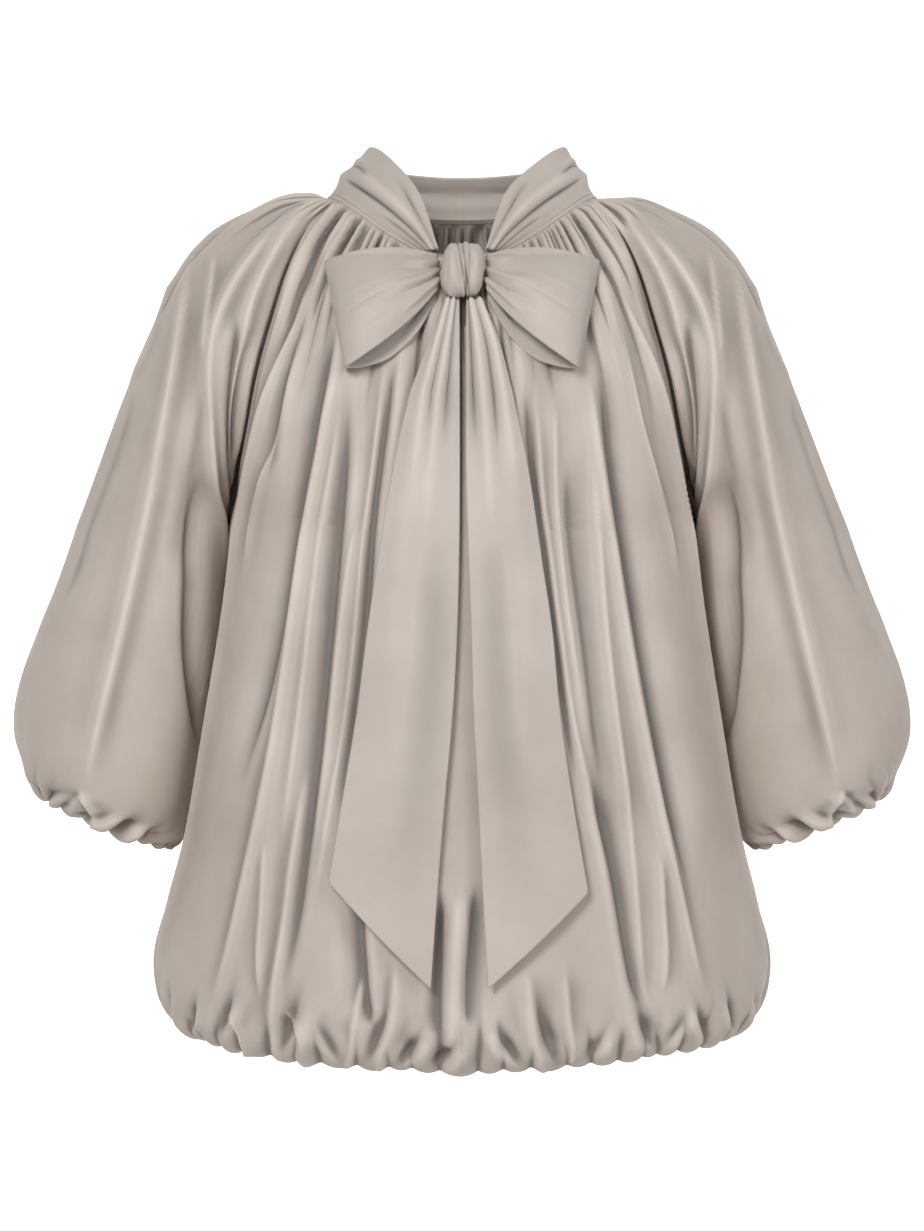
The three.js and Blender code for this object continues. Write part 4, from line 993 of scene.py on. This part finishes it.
# Knot: the tie wrapped over itself, a barrel along X with two full wraps and narrow twisted folds between
bowKnot = {
    "x": 0.5, "y": -109, "z": -60, "halfWide": 15, "halfDeep": 14, "halfHigh": 19,
    # grooves and ridges: place along the knot at the top, middle and bottom, height and half width in mm
    "folds": [
        [-0.3, -0.02, 0.2, -3.0, 0.045], [-0.04, 0.12, 0.36, -2.6, 0.045], [-0.12, 0.16, 0.14, -1.8, 0.03],
        [0.24, 0.3, 0.2, -2.0, 0.04], [-0.46, -0.2, 0.02, -1.2, 0.05], [-0.62, -0.56, -0.5, 1.3, 0.28],
        [0.66, 0.62, 0.6, 1.0, 0.2], [-0.8, -0.7, -0.84, -0.8, 0.07], [0.5, 0.44, 0.54, -0.8, 0.06],
        [0.02, 0.06, 0.1, 1.4, 0.05],
    ],
}


def makeKnot():
    along = np.sin(np.linspace(-0.5 * np.pi, 0.5 * np.pi, 97))
    turn = np.linspace(0, 2 * np.pi, 129)
    size = np.clip(1 - np.abs(along) ** 3.4, 0, 1) ** 0.36
    up = np.sin(turn)[None, :]
    height = np.zeros((len(along), len(turn)))
    for atTop, atMiddle, atBottom, lift, half in bowKnot["folds"]:
        line = atMiddle + 0.5 * (atTop - atBottom) * up + (0.5 * (atTop + atBottom) - atMiddle) * up ** 2
        off = (along[:, None] - line) / half
        height += lift * np.exp(-1.2 * (np.sqrt(off ** 2 + 0.05) - 0.22)) * (1 - 0.45 * up ** 2)
    height += 0.35 * np.sin(5 * turn[None, :] + 9 * along[:, None]) * (1 - np.abs(along[:, None]) ** 4)
    y = bowKnot["y"] - (bowKnot["halfDeep"] * size[:, None] + height * size[:, None]) * np.cos(turn)[None, :]
    z = bowKnot["z"] + (bowKnot["halfHigh"] * size[:, None] + height * size[:, None]) * np.sin(turn)[None, :]
    x = bowKnot["x"] + bowKnot["halfWide"] * along[:, None] + 0.8 * np.sin(turn)[None, :]
    points = np.stack([x, y, z], axis=-1)
    faces = gridFaces(points.shape[0], points.shape[1], False)
    # painted shade in the knot's grooves and a painted highlight on its ridges
    paintedLightMask = np.clip(height / 4, -1, 1)
    return makePiece("knotCloth", points.reshape(-1, 3), faces, arcs(points).reshape(-1, 2), tieSatin,
                     paintedLightMask=paintedLightMask)


knotPiece = makeKnot()
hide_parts("bow_knot")
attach(knotPiece, "root")
print("knot done")

# Stage: pale seamless paper, soft daylight studio, camera at the photograph's place
studio = {
    "floorZ": -1.05, "paperWidth": 30, "front": -14, "wall": 6.4, "bend": 3.2, "top": 13,
    "paper": "#FCFCFC", "paperGlow": 0.95, "glowFrom": 1.6, "floorPaper": "#E6E5E3",
    "sky": "#FFFFFF", "skyStrength": 0.16,
    "keyPlace": (-0.95, -2.8, 1.1), "keySize": 1.0, "keyPower": 56,
    "fillPlace": (2.1, -2.2, 1.2), "fillSize": 1.6, "fillPower": 30,
    "cameraPlace": (0, -2.8, -0.299), "lens": 113.73,
}
turn = np.linspace(0, 0.5 * np.pi, 17)
profile = [(studio["front"], studio["floorZ"]), (studio["glowFrom"], studio["floorZ"])]
profile += [(studio["wall"] - studio["bend"] + studio["bend"] * math.sin(t),
             studio["floorZ"] + studio["bend"] - studio["bend"] * math.cos(t)) for t in turn]
profile += [(studio["wall"], studio["top"])]
paperMesh = bpy.data.meshes.new("studioPaper")
corners = [(side * studio["paperWidth"] / 2, y, z) for y, z in profile for side in (-1, 1)]
paperMesh.from_pydata(corners, [], [
    (2 * i, 2 * i + 1, 2 * i + 3, 2 * i + 2) for i in range(len(profile) - 1)])
paper = bpy.data.objects.new("studioPaper", paperMesh)
bpy.context.scene.collection.objects.link(paper)
for paperName, paperColour, glow in (("glowingPaper", studio["paper"], studio["paperGlow"]),
                                     ("mattPaper", studio["floorPaper"], 0)):
    paperMaterial = bpy.data.materials.new(paperName)
    paperMaterial.use_nodes = True
    paperShader = paperMaterial.node_tree.nodes["Principled BSDF"]
    paperShader.inputs["Base Color"].default_value = linear(paperColour)
    paperShader.inputs["Roughness"].default_value = 0.9
    paperShader.inputs["Emission Color"].default_value = linear(paperColour)
    paperShader.inputs["Emission Strength"].default_value = glow
    paperMesh.materials.append(paperMaterial)
for polygon in paperMesh.polygons:
    polygon.use_smooth = True
    polygon.material_index = int(polygon.center.y < studio["glowFrom"])

world = bpy.data.worlds.new("softSky")
world.use_nodes = True
world.node_tree.nodes["Background"].inputs["Color"].default_value = linear(studio["sky"])
world.node_tree.nodes["Background"].inputs["Strength"].default_value = studio["skyStrength"]
bpy.context.scene.world = world


def softLight(name, place, size, power):
    light = bpy.data.lights.new(name, "AREA")
    light.shape, light.size, light.energy = "SQUARE", size, power
    obj = bpy.data.objects.new(name, light)
    obj.location = place
    aim = np.array([0, 0, -0.3]) - np.array(place)
    tip, heading = math.acos(-aim[2] / np.linalg.norm(aim)), math.atan2(aim[1], aim[0]) - 0.5 * math.pi
    obj.rotation_euler = (tip, 0, heading)
    bpy.context.scene.collection.objects.link(obj)


softLight("keySoftbox", studio["keyPlace"], studio["keySize"], studio["keyPower"])
softLight("fillSoftbox", studio["fillPlace"], studio["fillSize"], studio["fillPower"])

camera = bpy.data.objects.new("photoCamera", bpy.data.cameras.new("photoCamera"))
camera.location = studio["cameraPlace"]
camera.rotation_euler = (0.5 * math.pi, 0, 0)
camera.data.lens, camera.data.sensor_width = studio["lens"], 36
camera.data.clip_end = 50
bpy.context.scene.collection.objects.link(camera)
bpy.context.scene.camera = camera
bpy.context.scene.view_settings.view_transform = "Standard"
print("stage done")
